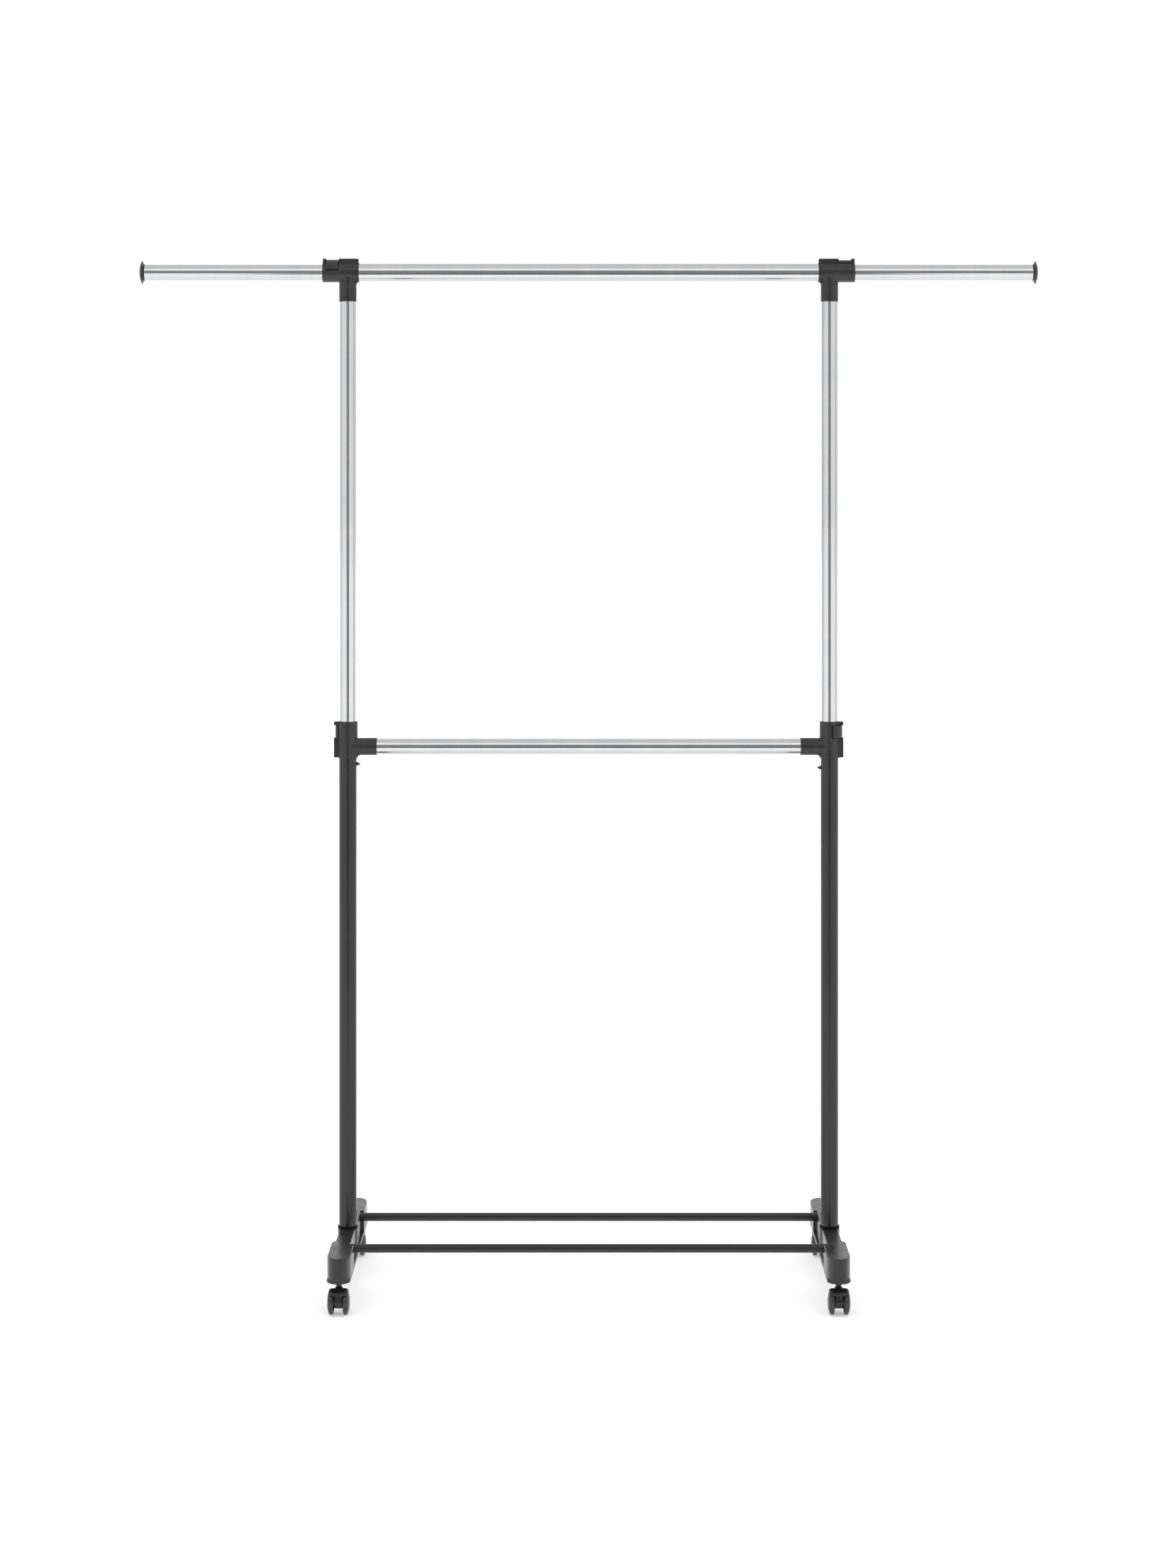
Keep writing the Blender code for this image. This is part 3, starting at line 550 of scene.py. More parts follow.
def wheel_nylon():
    """Black nylon: a grained face, and a scuffed, dusty tread where the wheel is widest."""
    material, tree, shader = shader_of("wheel_nylon")
    grain = noise(tree, 1500, 2.0, 0.5)
    dirt = noise(tree, 190, 4.0, 0.65)
    place = tree.nodes.new("ShaderNodeTexCoord").outputs["Object"]
    flat = tree.nodes.new("ShaderNodeVectorMath")
    flat.operation = "MULTIPLY"
    flat.inputs[1].default_value = (1, 1, 0)
    tree.links.new(place, flat.inputs[0])
    reach = tree.nodes.new("ShaderNodeVectorMath")
    reach.operation = "LENGTH"
    tree.links.new(flat.outputs["Vector"], reach.inputs[0])
    tread = ranged(tree, reach.outputs["Value"], WHEEL_R - 0.5 * MM, WHEEL_R - 0.1 * MM, 0.0, 1.0)
    dusty = math_node(tree, "MULTIPLY", tread, ranged(tree, dirt, 0.42, 0.66, 0.1, 0.9))
    share = math_node(tree, "ADD", dusty, ranged(tree, dirt, 0.3, 0.7, 0, 0.12))
    painted(tree, shader, share, (0.012, 0.012, 0.0125), (0.070, 0.067, 0.062))
    tree.links.new(ranged(tree, share, 0, 1, 0.26, 0.8), shader.inputs["Roughness"])
    tree.links.new(bumped(tree, grain, 0.03 * MM, 0.4), shader.inputs["Normal"])
    return material


def black_steel():
    """Oiled black oxide on turned steel: near black, with fine turning lines and paler rubbed spots."""
    material, tree, shader = shader_of("black_steel")
    lines = noise(tree, 1500, 2.0, 0.5, stretch=(0.1, 0.1, 3))
    rubbed = noise(tree, 300, 4.0, 0.6)
    share = ranged(tree, rubbed, 0.55, 0.8, 0, 1)
    painted(tree, shader, share, (0.006, 0.006, 0.0065), (0.03, 0.03, 0.031))
    tree.links.new(ranged(tree, rubbed, 0.3, 0.7, 0.30, 0.42), shader.inputs["Roughness"])
    tree.links.new(bumped(tree, lines, 0.01 * MM, 0.3), shader.inputs["Normal"])
    return material


def zinc():
    """Zinc plate: a spangled, slightly cloudy metal."""
    material, tree, shader = shader_of("zinc_plate")
    shader.inputs["Metallic"].default_value = 1.0
    cloud = noise(tree, 380, 4.0, 0.6)
    lines = noise(tree, 1200, 2.0, 0.5, stretch=(1, 1, 9))
    painted(tree, shader, ranged(tree, cloud, 0.3, 0.7, 0, 1), (0.42, 0.42, 0.41), (0.62, 0.62, 0.60))
    tree.links.new(ranged(tree, cloud, 0.3, 0.7, 0.24, 0.46), shader.inputs["Roughness"])
    tree.links.new(bumped(tree, lines, 0.01 * MM, 0.3), shader.inputs["Normal"])
    return material


def glide_plastic():
    """Off-white plastic of the plugs that slide in the tubes, with grey rub marks."""
    material, tree, shader = shader_of("glide_plastic")
    rub = noise(tree, 420, 4.0, 0.6, stretch=(1, 1, 0.15))
    painted(tree, shader, ranged(tree, rub, 0.5, 0.75, 0, 1), (0.72, 0.71, 0.67), (0.40, 0.40, 0.39))
    tree.links.new(ranged(tree, rub, 0.3, 0.7, 0.38, 0.6), shader.inputs["Roughness"])
    tree.links.new(bumped(tree, rub, 0.02 * MM, 0.4), shader.inputs["Normal"])
    return material


MATERIALS = {
    "chrome": chrome(),
    "powder_coat": powder_coat(),
    "connector_moulding": moulding("connector_plastic", (0.010, 0.010, 0.0105), (0.028, 0.028, 0.029),
                                   rough=0.28, grain=1900, split_across="Y"),
    "foot_moulding": moulding("foot_plastic", (0.014, 0.014, 0.0142), (0.034, 0.0337, 0.0333),
                              rough=0.25, grain=1700, gloss=0.42),
    "caster_moulding": moulding("caster_plastic", (0.009, 0.009, 0.0092), (0.024, 0.024, 0.0245),
                                rough=0.24, grain=1900, split_across="X"),
    "wheel_plastic": wheel_nylon(),
    "zinc_steel": zinc(),
    "black_steel": black_steel(),
    "glide_plastic": glide_plastic(),
}
# Near-black, barely glossy plastic for the ring round the upright at the top of the foot's socket, so it
# shows as a dark band there, darker and duller than the foot
NEAR_BLACK_BAND = moulding("socket_ring", (0.004, 0.004, 0.004), (0.009, 0.009, 0.009),
                      rough=0.5, grain=1700, gloss=0.08)


# ---------------------------------------------------------------- pieces

ALONG_X = (0, math.pi / 2, 0)
AGAINST_X = (0, -math.pi / 2, 0)
# Which way a piece's own Z points, by its side of the rack
OUTWARDS = {-1: AGAINST_X, 1: ALONG_X}
INWARDS = {-1: ALONG_X, 1: AGAINST_X}


def piece(node, word, mesh, location, rotation=(0, 0, 0), outer=None, sharp=STEEL_SHARP, material=None):
    """A finished piece in place of a CAD node: it rides where the node rides and takes its material slot."""
    made = bpy.data.objects.new(f"{node}_{word}", mesh.copy())
    made.data.name = made.name
    made.data.materials.clear()
    made.data.materials.append(material or MATERIALS[SLOT_OF[node]])
    made.data.shade_smooth()
    made.data.set_sharp_from_angle(angle=math.radians(sharp))
    place = Matrix.LocRotScale(Vector(location), Euler(rotation), None)
    made.matrix_world = place if outer is None else outer @ place
    bpy.context.scene.collection.objects.link(made)
    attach(made, BODY_OF[node])
    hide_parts(node)


def facing_in(side, z=0.0):
    """The place on a side's upright at a height, turned so that its X points to the rack's middle."""
    turn = math.pi if side > 0 else 0
    return Matrix.LocRotScale(Vector((side * HALF_SPAN, 0, z)), Euler((0, 0, turn)), None)


def tube_mesh(radius, length, rolled=0.35 * MM):
    """A tube about its middle, with its cut ends deburred."""
    half = length / 2
    inner = radius - WALL
    rim = WALL * 0.45
    corners = [(radius, half, rolled), (radius, -half, rolled), (inner, -half, rim), (inner, half, rim)]
    return turned(rounded(corners, steps=3))


def make_tubes():
    """The chrome and black tubes, each as long as its node."""
    names = ["top_rail", "lower_rail"]
    for side, _ in SIDES:
        names += [f"{side}_{part}" for part in ("lower_tube", "upper_tube", "extension_tube")]
    for node in names:
        low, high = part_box(node)
        size = high - low
        rotation = ALONG_X if size.x > size.z else (0, 0, 0)
        piece(node, "steel", tube_mesh(size.y / 2, max(size)), centre(node), rotation)


def make_rods():
    """The two thin base rods."""
    for node in ("front_rod", "rear_rod"):
        low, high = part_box(node)
        piece(node, "steel", tube_mesh(ROD_R, high.x - low.x), centre(node), ALONG_X)


def tee_mesh():
    """The moulded connector: sleeve, arm, rib and web, with the window and finger notch of its lever."""
    sleeve = lathed([(0, SLEEVE_HIGH, 0), (SLEEVE_R, SLEEVE_HIGH, TEE_ROUNDING),
                     (SLEEVE_R, SLEEVE_LOW, TEE_ROUNDING), (0, SLEEVE_LOW, 0)])
    arm = turned_to_x(lathed([(0, ARM_END, 0), (ARM_R, ARM_END, TEE_ROUNDING), (ARM_R, ARM_START, 0),
                              (0, ARM_START, 0)]))
    rib_loop = rounded([(-RIB_TOP, -RIB_HALF_WIDTH, RIB_CORNER), (-RIB_ROOT, -RIB_HALF_WIDTH, 0),
                        (-RIB_ROOT, RIB_HALF_WIDTH, 0), (-RIB_TOP, RIB_HALF_WIDTH, RIB_CORNER)])
    rib = prism(rib_loop, RIB_LOW, RIB_HIGH, TEE_ROUNDING)
    reach = abs(SLEEVE_LOW) - ARM_R
    corner_x, corner_z = SLEEVE_R + reach, -ARM_R - reach
    inside_x = SLEEVE_R - OVERLAP
    inside_z = -ARM_R + OVERLAP
    web_loop = [(inside_x, corner_z), (inside_x, inside_z), (corner_x, inside_z)]
    web_loop += arc(reach + GAP, 90, 180, 10, corner_x, corner_z)
    web = prism(web_loop, -WEB_HALF_WIDTH, WEB_HALF_WIDTH)
    web.transform(Matrix.Rotation(math.pi / 2, 4, "X"))
    window = clamp_arc(WINDOW_INNER_R, WINDOW_INNER_R, WINDOW_FROM, WINDOW_TO, steps=16)
    window += clamp_arc(WINDOW_OUTER_R, WINDOW_OUTER_R, WINDOW_TO, WINDOW_FROM, steps=6)
    notch = clamp_arc(NOTCH_FLOOR_R, NOTCH_FLOOR_R, NOTCH_FROM, NOTCH_TO, steps=6)
    notch += clamp_arc(WINDOW_OUTER_R, WINDOW_OUTER_R, NOTCH_TO, NOTCH_FROM, steps=3)
    slim_socket = SLIM_R + GAP
    pin_hole = cylinder(PIN_HOLE_R, PIN_LOW, SLEEVE_HIGH + OVERSHOOT, SMALL_STEPS)
    steps = [
        ("UNION", arm),
        ("UNION", rib),
        ("UNION", web),
        ("DIFFERENCE", cylinder(WIDE_R + GAP, SLEEVE_LOW - OVERSHOOT, SHOULDER)),
        ("DIFFERENCE", cylinder(slim_socket, SHOULDER - OVERLAP, SLEEVE_HIGH + OVERSHOOT)),
        ("DIFFERENCE", turned_to_x(cylinder(slim_socket, ARM_FLOOR, ARM_END + OVERSHOOT))),
        ("DIFFERENCE", prism(window, WINDOW_LOW, WINDOW_HIGH)),
        ("DIFFERENCE", prism(notch, WINDOW_LOW, WINDOW_HIGH)),
        ("DIFFERENCE", moved(pin_hole, PIVOT_X, PIVOT_Y)),
    ]
    return moulded(sleeve, steps, TEE_VOXEL)


def lever_mesh():
    """The curved clamp lever with its hinge barrel about the origin and grip lines near its tip."""
    loop = clamp_arc(LEVER_TIP_R, LEVER_ROOT_R, LEVER_TIP_ANGLE, LEVER_ROOT_ANGLE, steps=24)
    loop += arc(BARREL_R, BARREL_FROM, BARREL_TO, 20, PIVOT_X, PIVOT_Y)
    loop += clamp_arc(LEVER_ROOT_INNER_R, LEVER_TIP_INNER_R, LEVER_ROOT_ANGLE, LEVER_TIP_ANGLE, steps=24)
    body = prism(loop, WINDOW_LOW + LEVER_CLEARANCE, WINDOW_HIGH - LEVER_CLEARANCE)
    pin_hole = cylinder(PIN_HOLE_R, WINDOW_LOW - OVERSHOOT, WINDOW_HIGH + OVERSHOOT, SMALL_STEPS)
    steps = [("DIFFERENCE", moved(pin_hole, PIVOT_X, PIVOT_Y))]
    for angle in GRIP_ANGLES:
        share = (angle - LEVER_TIP_ANGLE) / (LEVER_ROOT_ANGLE - LEVER_TIP_ANGLE)
        radius = LEVER_TIP_R + (LEVER_ROOT_R - LEVER_TIP_R) * share
        groove = cylinder(GRIP_R, WINDOW_LOW + GRIP_INSET, WINDOW_HIGH - GRIP_INSET, SMALL_STEPS)
        x, y = clamp_arc(radius, radius, angle, angle, steps=1)[0]
        steps.append(("DIFFERENCE", moved(groove, x, y)))
    return moved(moulded(body, steps, LEVER_VOXEL, smoothing=3, kept=0.35), -PIVOT_X, -PIVOT_Y)


def pin_mesh():
    """The lever's hinge pin."""
    low = PIN_LOW + GAP
    return lathed([(0, PIN_HIGH, 0), (PIN_R, PIN_HIGH, GAP), (PIN_R, low, GAP), (0, low, 0)], SMALL_STEPS)


def make_tees():
    """The four tees, which are one moulding turned four ways, each with its lever and pin."""
    tee, lever, pin = tee_mesh(), lever_mesh(), pin_mesh()
    pivot = (PIVOT_X, PIVOT_Y, 0)
    for name, side in SIDES:
        mid = facing_in(side, LOWER_RAIL_Z)
        # The upper tee lies down: its arm points down the upright and its clamp outwards
        laid_down = Euler((0, math.pi / 2, 0 if side > 0 else math.pi))
        upper = Matrix.LocRotScale(Vector((side * HALF_SPAN, 0, TOP_RAIL_Z)), laid_down, None)
        for level, place in (("mid", mid), ("upper", upper)):
            node = f"{name}_{level}"
            piece(f"{node}_tee", "moulding", tee, (0, 0, 0), outer=place, sharp=MOULDED_SHARP)
            piece(f"{node}_lever", "moulding", lever, pivot, outer=place, sharp=MOULDED_SHARP)
            piece(f"{node}_lever_pin", "steel", pin, pivot, outer=place)


def foot_mesh():
    """The moulded foot: flange, waisted body with soft edges, upright socket, and its holes and pockets."""
    nose_y = FOOT_HALF_LENGTH - FLANGE_HALF_WIDTH
    stadium = arc(FLANGE_HALF_WIDTH, 0, 180, 36, 0, nose_y) + arc(FLANGE_HALF_WIDTH, 180, 360, 36, 0, -nose_y)
    flange = prism(stadium, FOOT_LOW, FLANGE_HIGH, FLANGE_ROUNDING)
    shoulder_x = BLOCK_HALF_WIDTH - BLOCK_CORNER
    outer_step = [(-WAIST_HALF_WIDTH, STEP_RUN - BLOCK_OUTER_Y, STEP_CORNER),
                  (-shoulder_x, -BLOCK_OUTER_Y, STEP_CORNER),
                  (-BLOCK_HALF_WIDTH, -BLOCK_OUTER_Y - STEP_RUN, STEP_CORNER)]
    nose = [(x * BLOCK_HALF_WIDTH, y * NOSE_LENGTH - NOSE_Y, 0) for x, y in arc(1, 180, 360, 40)]
    inner_step = [(BLOCK_HALF_WIDTH, -BLOCK_INNER_Y, BLOCK_CORNER),
                  (WAIST_HALF_WIDTH, -BLOCK_INNER_Y, WAIST_CORNER)]
    front = outer_step + nose + inner_step
    back = [(x, -y, radius) for x, y, radius in reversed(front)]
    body = prism(rounded(front + back, steps=3), FLANGE_HIGH - OVERLAP, FOOT_HIGH, TOP_ROUNDING, ("high",))
    boss = cylinder(BOSS_R, FOOT_LOW + OVERLAP, BOSS_HIGH - RING_HIGH)
    socket = cylinder(WIDE_R + GAP, SOCKET_FLOOR, BOSS_HIGH + OVERSHOOT)
    steps = [("UNION", body), ("UNION", boss), ("DIFFERENCE", socket)]
    for side in (-1, 1):
        for half_width, along, high in ((WAIST_POCKET_HALF_WIDTH, WAIST_POCKET_Y, WAIST_POCKET_HIGH),
                                        (BLOCK_POCKET_HALF_WIDTH, BLOCK_POCKET_Y, BLOCK_POCKET_HIGH)):
            near, far = sorted(side * y for y in along)
            pocket = box((-half_width, near, FOOT_LOW - OVERSHOOT), (half_width, far, high))
            steps.append(("DIFFERENCE", pocket))
        rod_hole = turned_to_x(cylinder(ROD_R + GAP, ROD_END - GAP, ACROSS_FOOT))
        seat = turned_to_x(cylinder(SEAT_R, -ACROSS_FOOT, BOLT_SEAT))
        shank_hole = turned_to_x(cylinder(BOLT_HOLE_R, BOLT_SEAT - OVERLAP, ROD_END + OVERLAP, SMALL_STEPS))
        for hole in (rod_hole, seat, shank_hole):
            steps.append(("DIFFERENCE", moved(hole, y=side * ROD_Y, z=ROD_Z)))
        stem_hole = cylinder(STEM_HOLE_R, FOOT_LOW - OVERSHOOT, STEM_HIGH + GAP, SMALL_STEPS)
        steps.append(("DIFFERENCE", moved(stem_hole, y=side * STEM_Y)))
        dimple = cylinder(DIMPLE_R, FOOT_HIGH - DIMPLE_DEPTH, FOOT_HIGH + OVERSHOOT, SMALL_STEPS)
        steps.append(("DIFFERENCE", moved(dimple, DIMPLE_X, side * DIMPLE_Y)))
    return moulded(flange, steps, FOOT_VOXEL)


def ring_mesh():
    """The ring that closes the top of the foot's socket round the upright, drawn near-black and barely
    glossy.
    """
    low, bore = BOSS_HIGH - RING_HIGH, WIDE_R + GAP
    return turned(rounded([(bore, low, 0), (BOSS_R, low, 0.3 * MM), (BOSS_R, BOSS_HIGH, 0.9 * MM),
                           (bore, BOSS_HIGH, 0.5 * MM)]))


def bolt_mesh():
    """A rod bolt: low domed head with a hexagon socket, and a plain shank."""
    head_low = -GAP - BOLT_HEAD
    bolt = lathed([(0, BOLT_LENGTH, 0), (BOLT_R, BOLT_LENGTH, 0.5 * MM), (BOLT_R, -GAP, 0),
                   (BOLT_HEAD_R, -GAP, 0.2 * MM), (BOLT_HEAD_R, head_low + 1.1 * MM, 0.8 * MM),
                   (BOLT_HEAD_R - 1.6 * MM, head_low, 0.8 * MM), (0, head_low, 0)], STEEL_STEPS)
    hexagon = cylinder(BOLT_KEY_R, head_low - 1 * MM, head_low + BOLT_KEY_DEPTH, steps=6)
    body = bpy.data.objects.new("bolt", bolt)
    key = bpy.data.objects.new("key", hexagon)
    for made in (body, key):
        bpy.context.scene.collection.objects.link(made)
    cut = body.modifiers.new("socket", "BOOLEAN")
    cut.operation = "DIFFERENCE"
    cut.object = key
    result = applied(body)
    bpy.data.objects.remove(body)
    bpy.data.objects.remove(key)
    return result


def make_feet():
    """The two feet, turned to face each other, with their socket rings and rod bolts."""
    foot, ring, bolt = foot_mesh(), ring_mesh(), bolt_mesh()
    for name, side in SIDES:
        place = facing_in(side)
        piece(f"{name}_foot", "moulding", foot, (0, 0, 0), outer=place, sharp=MOULDED_SHARP)
        piece(f"{name}_foot", "ring", ring, (0, 0, 0), outer=place, material=NEAR_BLACK_BAND)
        for end, y_side in ENDS:
            at = (BOLT_SEAT, -side * y_side * ROD_Y, ROD_Z)
            piece(f"{name}_{end}_rod_bolt", "steel", bolt, at, ALONG_X, outer=place)


def barrel(flank):
    """A solid turned about Z, alike above and below Z = 0, from the corners of its upper half's outline."""
    upper = rounded(flank, closed=False)
    lower = [(x, -y) for x, y in reversed(upper[:-1])]
    return turned(upper + lower, closed=False)


def hood_mesh():
    """The caster's body: round-shouldered hood, fork between the wheels and stem boss."""
    skin = barrel([(0, HOOD_HALF_WIDTH, 0), (HOOD_MOUTH_R + 0.6 * MM, HOOD_HALF_WIDTH, 0),
                   (HOOD_R - 1.5 * MM, HOOD_HALF_WIDTH, 0.5 * MM), (HOOD_R - 0.3 * MM, 12.4 * MM, 3.5 * MM),
                   (HOOD_R, 9.0 * MM, 9 * MM), (HOOD_R, 0, 0)])
    past = HOOD_HALF_WIDTH + OVERSHOOT
    cavity = barrel([(0, past, 0), (HOOD_MOUTH_R, past, 0), (HOOD_MOUTH_R, HOOD_HALF_WIDTH, 1 * MM),
                     (HOOD_INNER_R, HOOD_INNER_FLAT, 3 * MM), (HOOD_INNER_R, 0, 0)])
    sector = prism([(0, 0)] + arc(2 * HOOD_R, HOOD_FROM, HOOD_TO, 24), -past, past)
    joint_r = (HOOD_R + HOOD_INNER_R) / 2
    fork_loop = arc(joint_r, FORK_FROM, HOOD_TO - FORK_SETBACK, 40)
    fork_loop += arc(FORK_R, HOOD_TO + FORK_FOOT_SETBACK, FORK_FOOT_FROM + 360, 30)
    fork = prism(fork_loop, -FORK_HALF_WIDTH, FORK_HALF_WIDTH)
    axle_hole = cylinder(AXLE_HOLE_R, -past, past, SMALL_STEPS)
    # The outline's X becomes the trailing direction (-Y), its Y becomes Z and its thickness runs along X
    to_caster = Matrix(((0, 0, -1, 0), (-1, 0, 0, -TRAIL), (0, 1, 0, WHEEL_R), (0, 0, 0, 1)))
    for mesh in (skin, cavity, sector, fork, axle_hole):
        mesh.transform(to_caster)
    steps = [
        ("INTERSECT", sector),
        ("DIFFERENCE", cavity),
        ("UNION", fork),
        ("UNION", cylinder(HOOD_BOSS_R, HOOD_BOSS_LOW, HOOD_HIGH)),
        ("DIFFERENCE", axle_hole),
        ("DIFFERENCE", cylinder(STEM_HOLE_R, STEM_LOW - GAP, HOOD_HIGH + OVERSHOOT)),
    ]
    return moulded(skin, steps, HOOD_VOXEL)


def wheel_mesh():
    """A wheel, outer face up: domed face with a hub ring and a rim groove, crowned tread, ribbed back."""
    hole_end = AXLE_HALF_LENGTH + GAP
    return lathed([
        (0, WHEEL_OUTER, 0),
        (4.2 * MM, WHEEL_OUTER - 0.05 * MM, 0.3 * MM),
        (4.6 * MM, WHEEL_OUTER - 0.6 * MM, 0.3 * MM),
        (5.4 * MM, WHEEL_OUTER - 0.6 * MM, 0.3 * MM),
        (5.8 * MM, WHEEL_OUTER - 0.15 * MM, 0.3 * MM),
        (9.5 * MM, WHEEL_OUTER - 0.5 * MM, 8 * MM),
        (13.6 * MM, WHEEL_OUTER - 1.4 * MM, 0.3 * MM),
        (13.9 * MM, WHEEL_OUTER - 1.9 * MM, 0.25 * MM),
        (14.5 * MM, WHEEL_OUTER - 2.0 * MM, 0.25 * MM),
        (14.9 * MM, WHEEL_OUTER - 1.8 * MM, 0.5 * MM),
        (17.7 * MM, 14.3 * MM, 2.0 * MM),
        (WHEEL_R, 12.2 * MM, 2.4 * MM),
        (WHEEL_R, 10.6 * MM, 6 * MM),
        (WHEEL_R - 0.1 * MM, 9.0 * MM, 1.2 * MM),
        (17.0 * MM, WHEEL_INNER, 0.8 * MM),
        (15.2 * MM, WHEEL_INNER, 0.4 * MM),
        (14.8 * MM, WHEEL_INNER + 1.8 * MM, 0.4 * MM),
        (5.2 * MM, WHEEL_INNER + 1.8 * MM, 0.4 * MM),
        (4.6 * MM, WHEEL_INNER, 0.4 * MM),
        (AXLE_HOLE_R, WHEEL_INNER, 0.25 * MM),
        (AXLE_HOLE_R, hole_end, 0),
        (0, hole_end, 0),
    ])


def stem_mesh():
    """The caster's stem, with the collar that carries the foot."""
    return lathed([
        (0, STEM_HIGH, 0),
        (STEM_R, STEM_HIGH, 1.0 * MM),
        (STEM_R, FOOT_LOW - GAP, 0.2 * MM),
        (COLLAR_R, FOOT_LOW - GAP, 0.4 * MM),
        (COLLAR_R, COLLAR_LOW + 0.6 * MM, 0.5 * MM),
        (NECK_R, COLLAR_LOW, 0.6 * MM),
        (NECK_R, HOOD_HIGH + GAP, 0.3 * MM),
        (STEM_R, HOOD_HIGH + GAP, 0.1 * MM),
        (STEM_R, STEM_LOW, 0.5 * MM),
        (0, STEM_LOW, 0),
    ], STEEL_STEPS)


def make_casters():
    """The four swivel casters."""
    hood, wheel, stem = hood_mesh(), wheel_mesh(), stem_mesh()
    for side_name, side in SIDES:
        for end, y_side in ENDS:
            name = f"{side_name}_{end}"
            at = Vector((side * HALF_SPAN, y_side * STEM_Y, 0))
            hub = at + Vector((0, -TRAIL, WHEEL_R))
            piece(f"{name}_caster_hood", "moulding", hood, at, sharp=MOULDED_SHARP)
            piece(f"{name}_caster_stem", "steel", stem, at)
            piece(f"{name}_outer_wheel", "nylon", wheel, hub, OUTWARDS[side])
            piece(f"{name}_inner_wheel", "nylon", wheel, hub, INWARDS[side])


def make_end_caps():
    """The caps that close the extension tubes: a domed disc on a short collar."""
    cap = lathed([
        (0, CAP_HIGH, 0),
        (7.0 * MM, 7.6 * MM, 20 * MM),
        (13.0 * MM, 6.4 * MM, 14 * MM),
        (CAP_R, 4.2 * MM, 0.5 * MM),
        (CAP_R, 3.2 * MM, 0.4 * MM),
        (CAP_COLLAR_R, 1.8 * MM, 1.0 * MM),
        (CAP_COLLAR_R, 0, 0.3 * MM),
        (PLUG_R, 0, 0.4 * MM),
        (PLUG_R, -CAP_PLUG, 0.6 * MM),
        (PLUG_BORE_R, -CAP_PLUG, 0.5 * MM),
        (PLUG_BORE_R, CAP_WALL, 0.5 * MM),
        (0, CAP_WALL, 0),
    ])
    for name, side in SIDES:
        low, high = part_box(f"{name}_end_cap")
        face_x = high.x - CAP_HIGH if side > 0 else low.x + CAP_HIGH
        piece(f"{name}_end_cap", "moulding", cap, (face_x, 0, TOP_RAIL_Z), OUTWARDS[side])


def make_studs():
    """The pointed stop studs on the inner side of the black uprights."""
    stud = lathed([
        (0, STUD_HEAD, 0),
        (0.7 * MM, STUD_HEAD, 0.4 * MM),
        (2.6 * MM, 1.8 * MM, 1.0 * MM),
        (STUD_HEAD_R, 1.3 * MM, 0.4 * MM),
        (STUD_HEAD_R, GAP, 0.2 * MM),
        (STUD_R, GAP, 0),
        (STUD_R, -STUD_TAIL, 0.2 * MM),
        (0, -STUD_TAIL, 0),
    ], SMALL_STEPS)
    for name, side in SIDES:
        at = (side * (HALF_SPAN - WIDE_R), 0, centre(f"{name}_stop_stud").z)
        piece(f"{name}_stop_stud", "moulding", stud, at, INWARDS[side])


def dress_hidden_nodes():
    """Keep the frame's own axles and glides, with finished materials."""
    for node, shown in frame["nodes"].items():
        if shown.hide_render:
            continue
        shown.data.materials.clear()
        shown.data.materials.append(MATERIALS[SLOT_OF[node]])


# ---------------------------------------------------------------- studio

def plain(name, colour, roughness, glow):
    """A painted studio surface with a faint mottle, which glows a little so that shadows on it stay pale."""
    material, tree, shader = shader_of(name)
    mottle = noise(tree, 1.3, 3.0, 0.5)
    darker = tuple(0.97 * channel for channel in colour)
    painted(tree, shader, mottle, darker, colour)
    shader.inputs["Roughness"].default_value = roughness
    shader.inputs["Emission Color"].default_value = (1, 1, 1, 1)
    shader.inputs["Emission Strength"].default_value = glow
    return material


def glowing(name, strength):
    """An even luminous surface."""
    material = bpy.data.materials.new(name)
    material.use_nodes = True
    tree = material.node_tree
    tree.nodes.clear()
    light = tree.nodes.new("ShaderNodeEmission")
    light.inputs["Strength"].default_value = strength
    out = tree.nodes.new("ShaderNodeOutputMaterial")
    tree.links.new(light.outputs["Emission"], out.inputs["Surface"])
    return material


def rectangle(x, y):
    """The corners of a flat rectangle, by half its width and half its height."""
    return [(-x, -y, 0), (x, -y, 0), (x, y, 0), (-x, y, 0)]


def card(name, size, location, aim, strength):
    """A studio card or soft lamp that shows only in reflections, by its width and height."""
    mesh = bpy.data.meshes.new(name)
    mesh.from_pydata(rectangle(size[0] / 2, size[1] / 2), [], [(0, 1, 2, 3)])
    mesh.materials.append(glowing(name, strength))
    made = bpy.data.objects.new(name, mesh)
    made.location = location
    made.rotation_euler = (Vector(aim) - Vector(location)).to_track_quat("Z", "Y").to_euler()
    made.visible_camera = False
    made.visible_diffuse = False
    made.visible_shadow = False
    bpy.context.scene.collection.objects.link(made)


def skylight(strength, spread):
    """Even light from overhead, as from a ceiling of soft lamps."""
    lamp = bpy.data.lights.new("skylight", "SUN")
    lamp.energy = strength
    lamp.angle = spread
    made = bpy.data.objects.new("skylight", lamp)
    made.location = (0, 0, 4)
    made.visible_glossy = False
    bpy.context.scene.collection.objects.link(made)


def surround(level, overhead):
    """A white surround that dims from one brightness to another towards the top."""
    world = bpy.data.worlds.new("studio")
    world.use_nodes = True
    tree = world.node_tree
    split = tree.nodes.new("ShaderNodeSeparateXYZ")
    tree.links.new(tree.nodes.new("ShaderNodeTexCoord").outputs["Generated"], split.inputs["Vector"])
    strength = ranged(tree, split.outputs["Z"], 0.30, 0.75, level, overhead)
    tree.links.new(strength, tree.nodes["Background"].inputs["Strength"])
    tree.nodes["Background"].inputs["Color"].default_value = (1, 1, 1, 1)
    bpy.context.scene.world = world


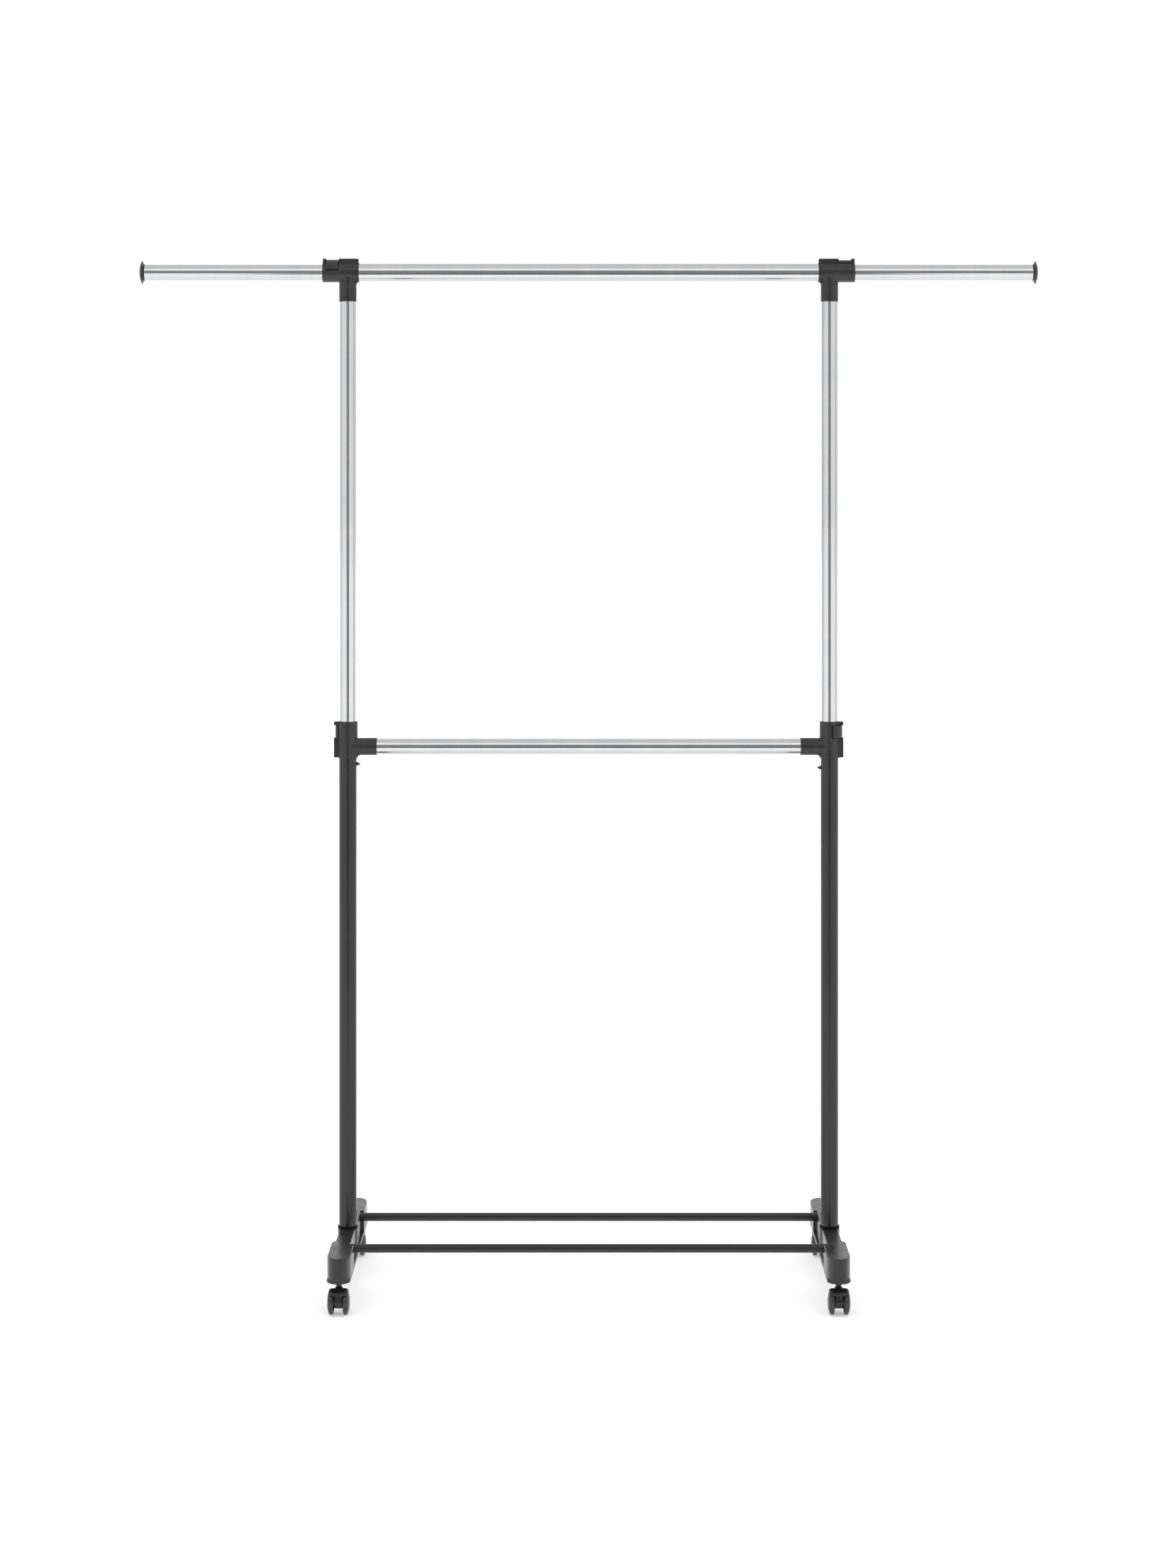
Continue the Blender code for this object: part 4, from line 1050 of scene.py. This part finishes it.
# The floor's paint and the surround's and skylight's brightness
FLOOR_REACH = 40.0
FLOOR_WHITE = (0.93, 0.93, 0.93)
FLOOR_ROUGHNESS = 0.7
FLOOR_GLOW = 0.28
SURROUND_LEVEL = 1.04
SURROUND_OVERHEAD = 0.84
SKYLIGHT = 0.55
SKYLIGHT_SPREAD = 1.3

# Upright cards round the rack, by angle from the front, width and brightness
CARD_DISTANCE = 6.2
CARD_HEIGHT = 4.0
FLAGS = ((100, 1.4, 0.6), (145, 2.2, 0.35), (215, 2.2, 0.35), (260, 1.4, 0.6))


def make_studio():
    """A pale floor in a white surround, light from overhead, and the lamps and cards that the gloss shows."""
    floor = bpy.data.meshes.new("floor")
    floor.from_pydata(rectangle(FLOOR_REACH, FLOOR_REACH), [], [(0, 1, 2, 3)])
    floor.materials.append(plain("floor_paint", FLOOR_WHITE, FLOOR_ROUGHNESS, FLOOR_GLOW))
    ground = bpy.data.objects.new("floor", floor)
    bpy.context.scene.collection.objects.link(ground)
    surround(SURROUND_LEVEL, SURROUND_OVERHEAD)
    skylight(SKYLIGHT, SKYLIGHT_SPREAD)
    middle = CARD_HEIGHT / 2
    card("front_card", (4.2, CARD_HEIGHT), (0, -CARD_DISTANCE, middle), (0, 0, middle), 0.32)
    card("camera_stand", (1.8, 3.6), (0, -4.4, 0.02), (0, -4.4, 1), 0.20)
    for azimuth, width, strength in FLAGS:
        turn = math.radians(azimuth)
        x, y = CARD_DISTANCE * math.sin(turn), -CARD_DISTANCE * math.cos(turn)
        card(f"flag_{azimuth}", (width, CARD_HEIGHT), (x, y, middle), (0, 0, middle), strength)
    card("front_softbox", (6.0, 1.2), (0, -3.0, 4.3), (0, 0, 1.2), 1.40)
    card("floor_reflector", (5.0, 1.5), (0, -1.55, 0.01), (0, -1.55, 1), 1.35)
    bpy.context.scene.view_settings.view_transform = "Standard"


def make_camera():
    """A level camera in front of the rack; the shift frames it without tilting the uprights."""
    lens = bpy.data.cameras.new("camera")
    lens.sensor_width = SENSOR
    lens.lens = LENS
    lens.shift_y = SHIFT_Y
    camera = bpy.data.objects.new("camera", lens)
    camera.location = (CAMERA_X, -CAMERA_DISTANCE, CAMERA_HEIGHT)
    camera.rotation_euler = (math.pi / 2, 0, 0)
    bpy.context.scene.collection.objects.link(camera)
    bpy.context.scene.camera = camera


make_camera()
make_tubes()
make_rods()
make_tees()
make_feet()
make_casters()
make_end_caps()
make_studs()
dress_hidden_nodes()
make_studio()
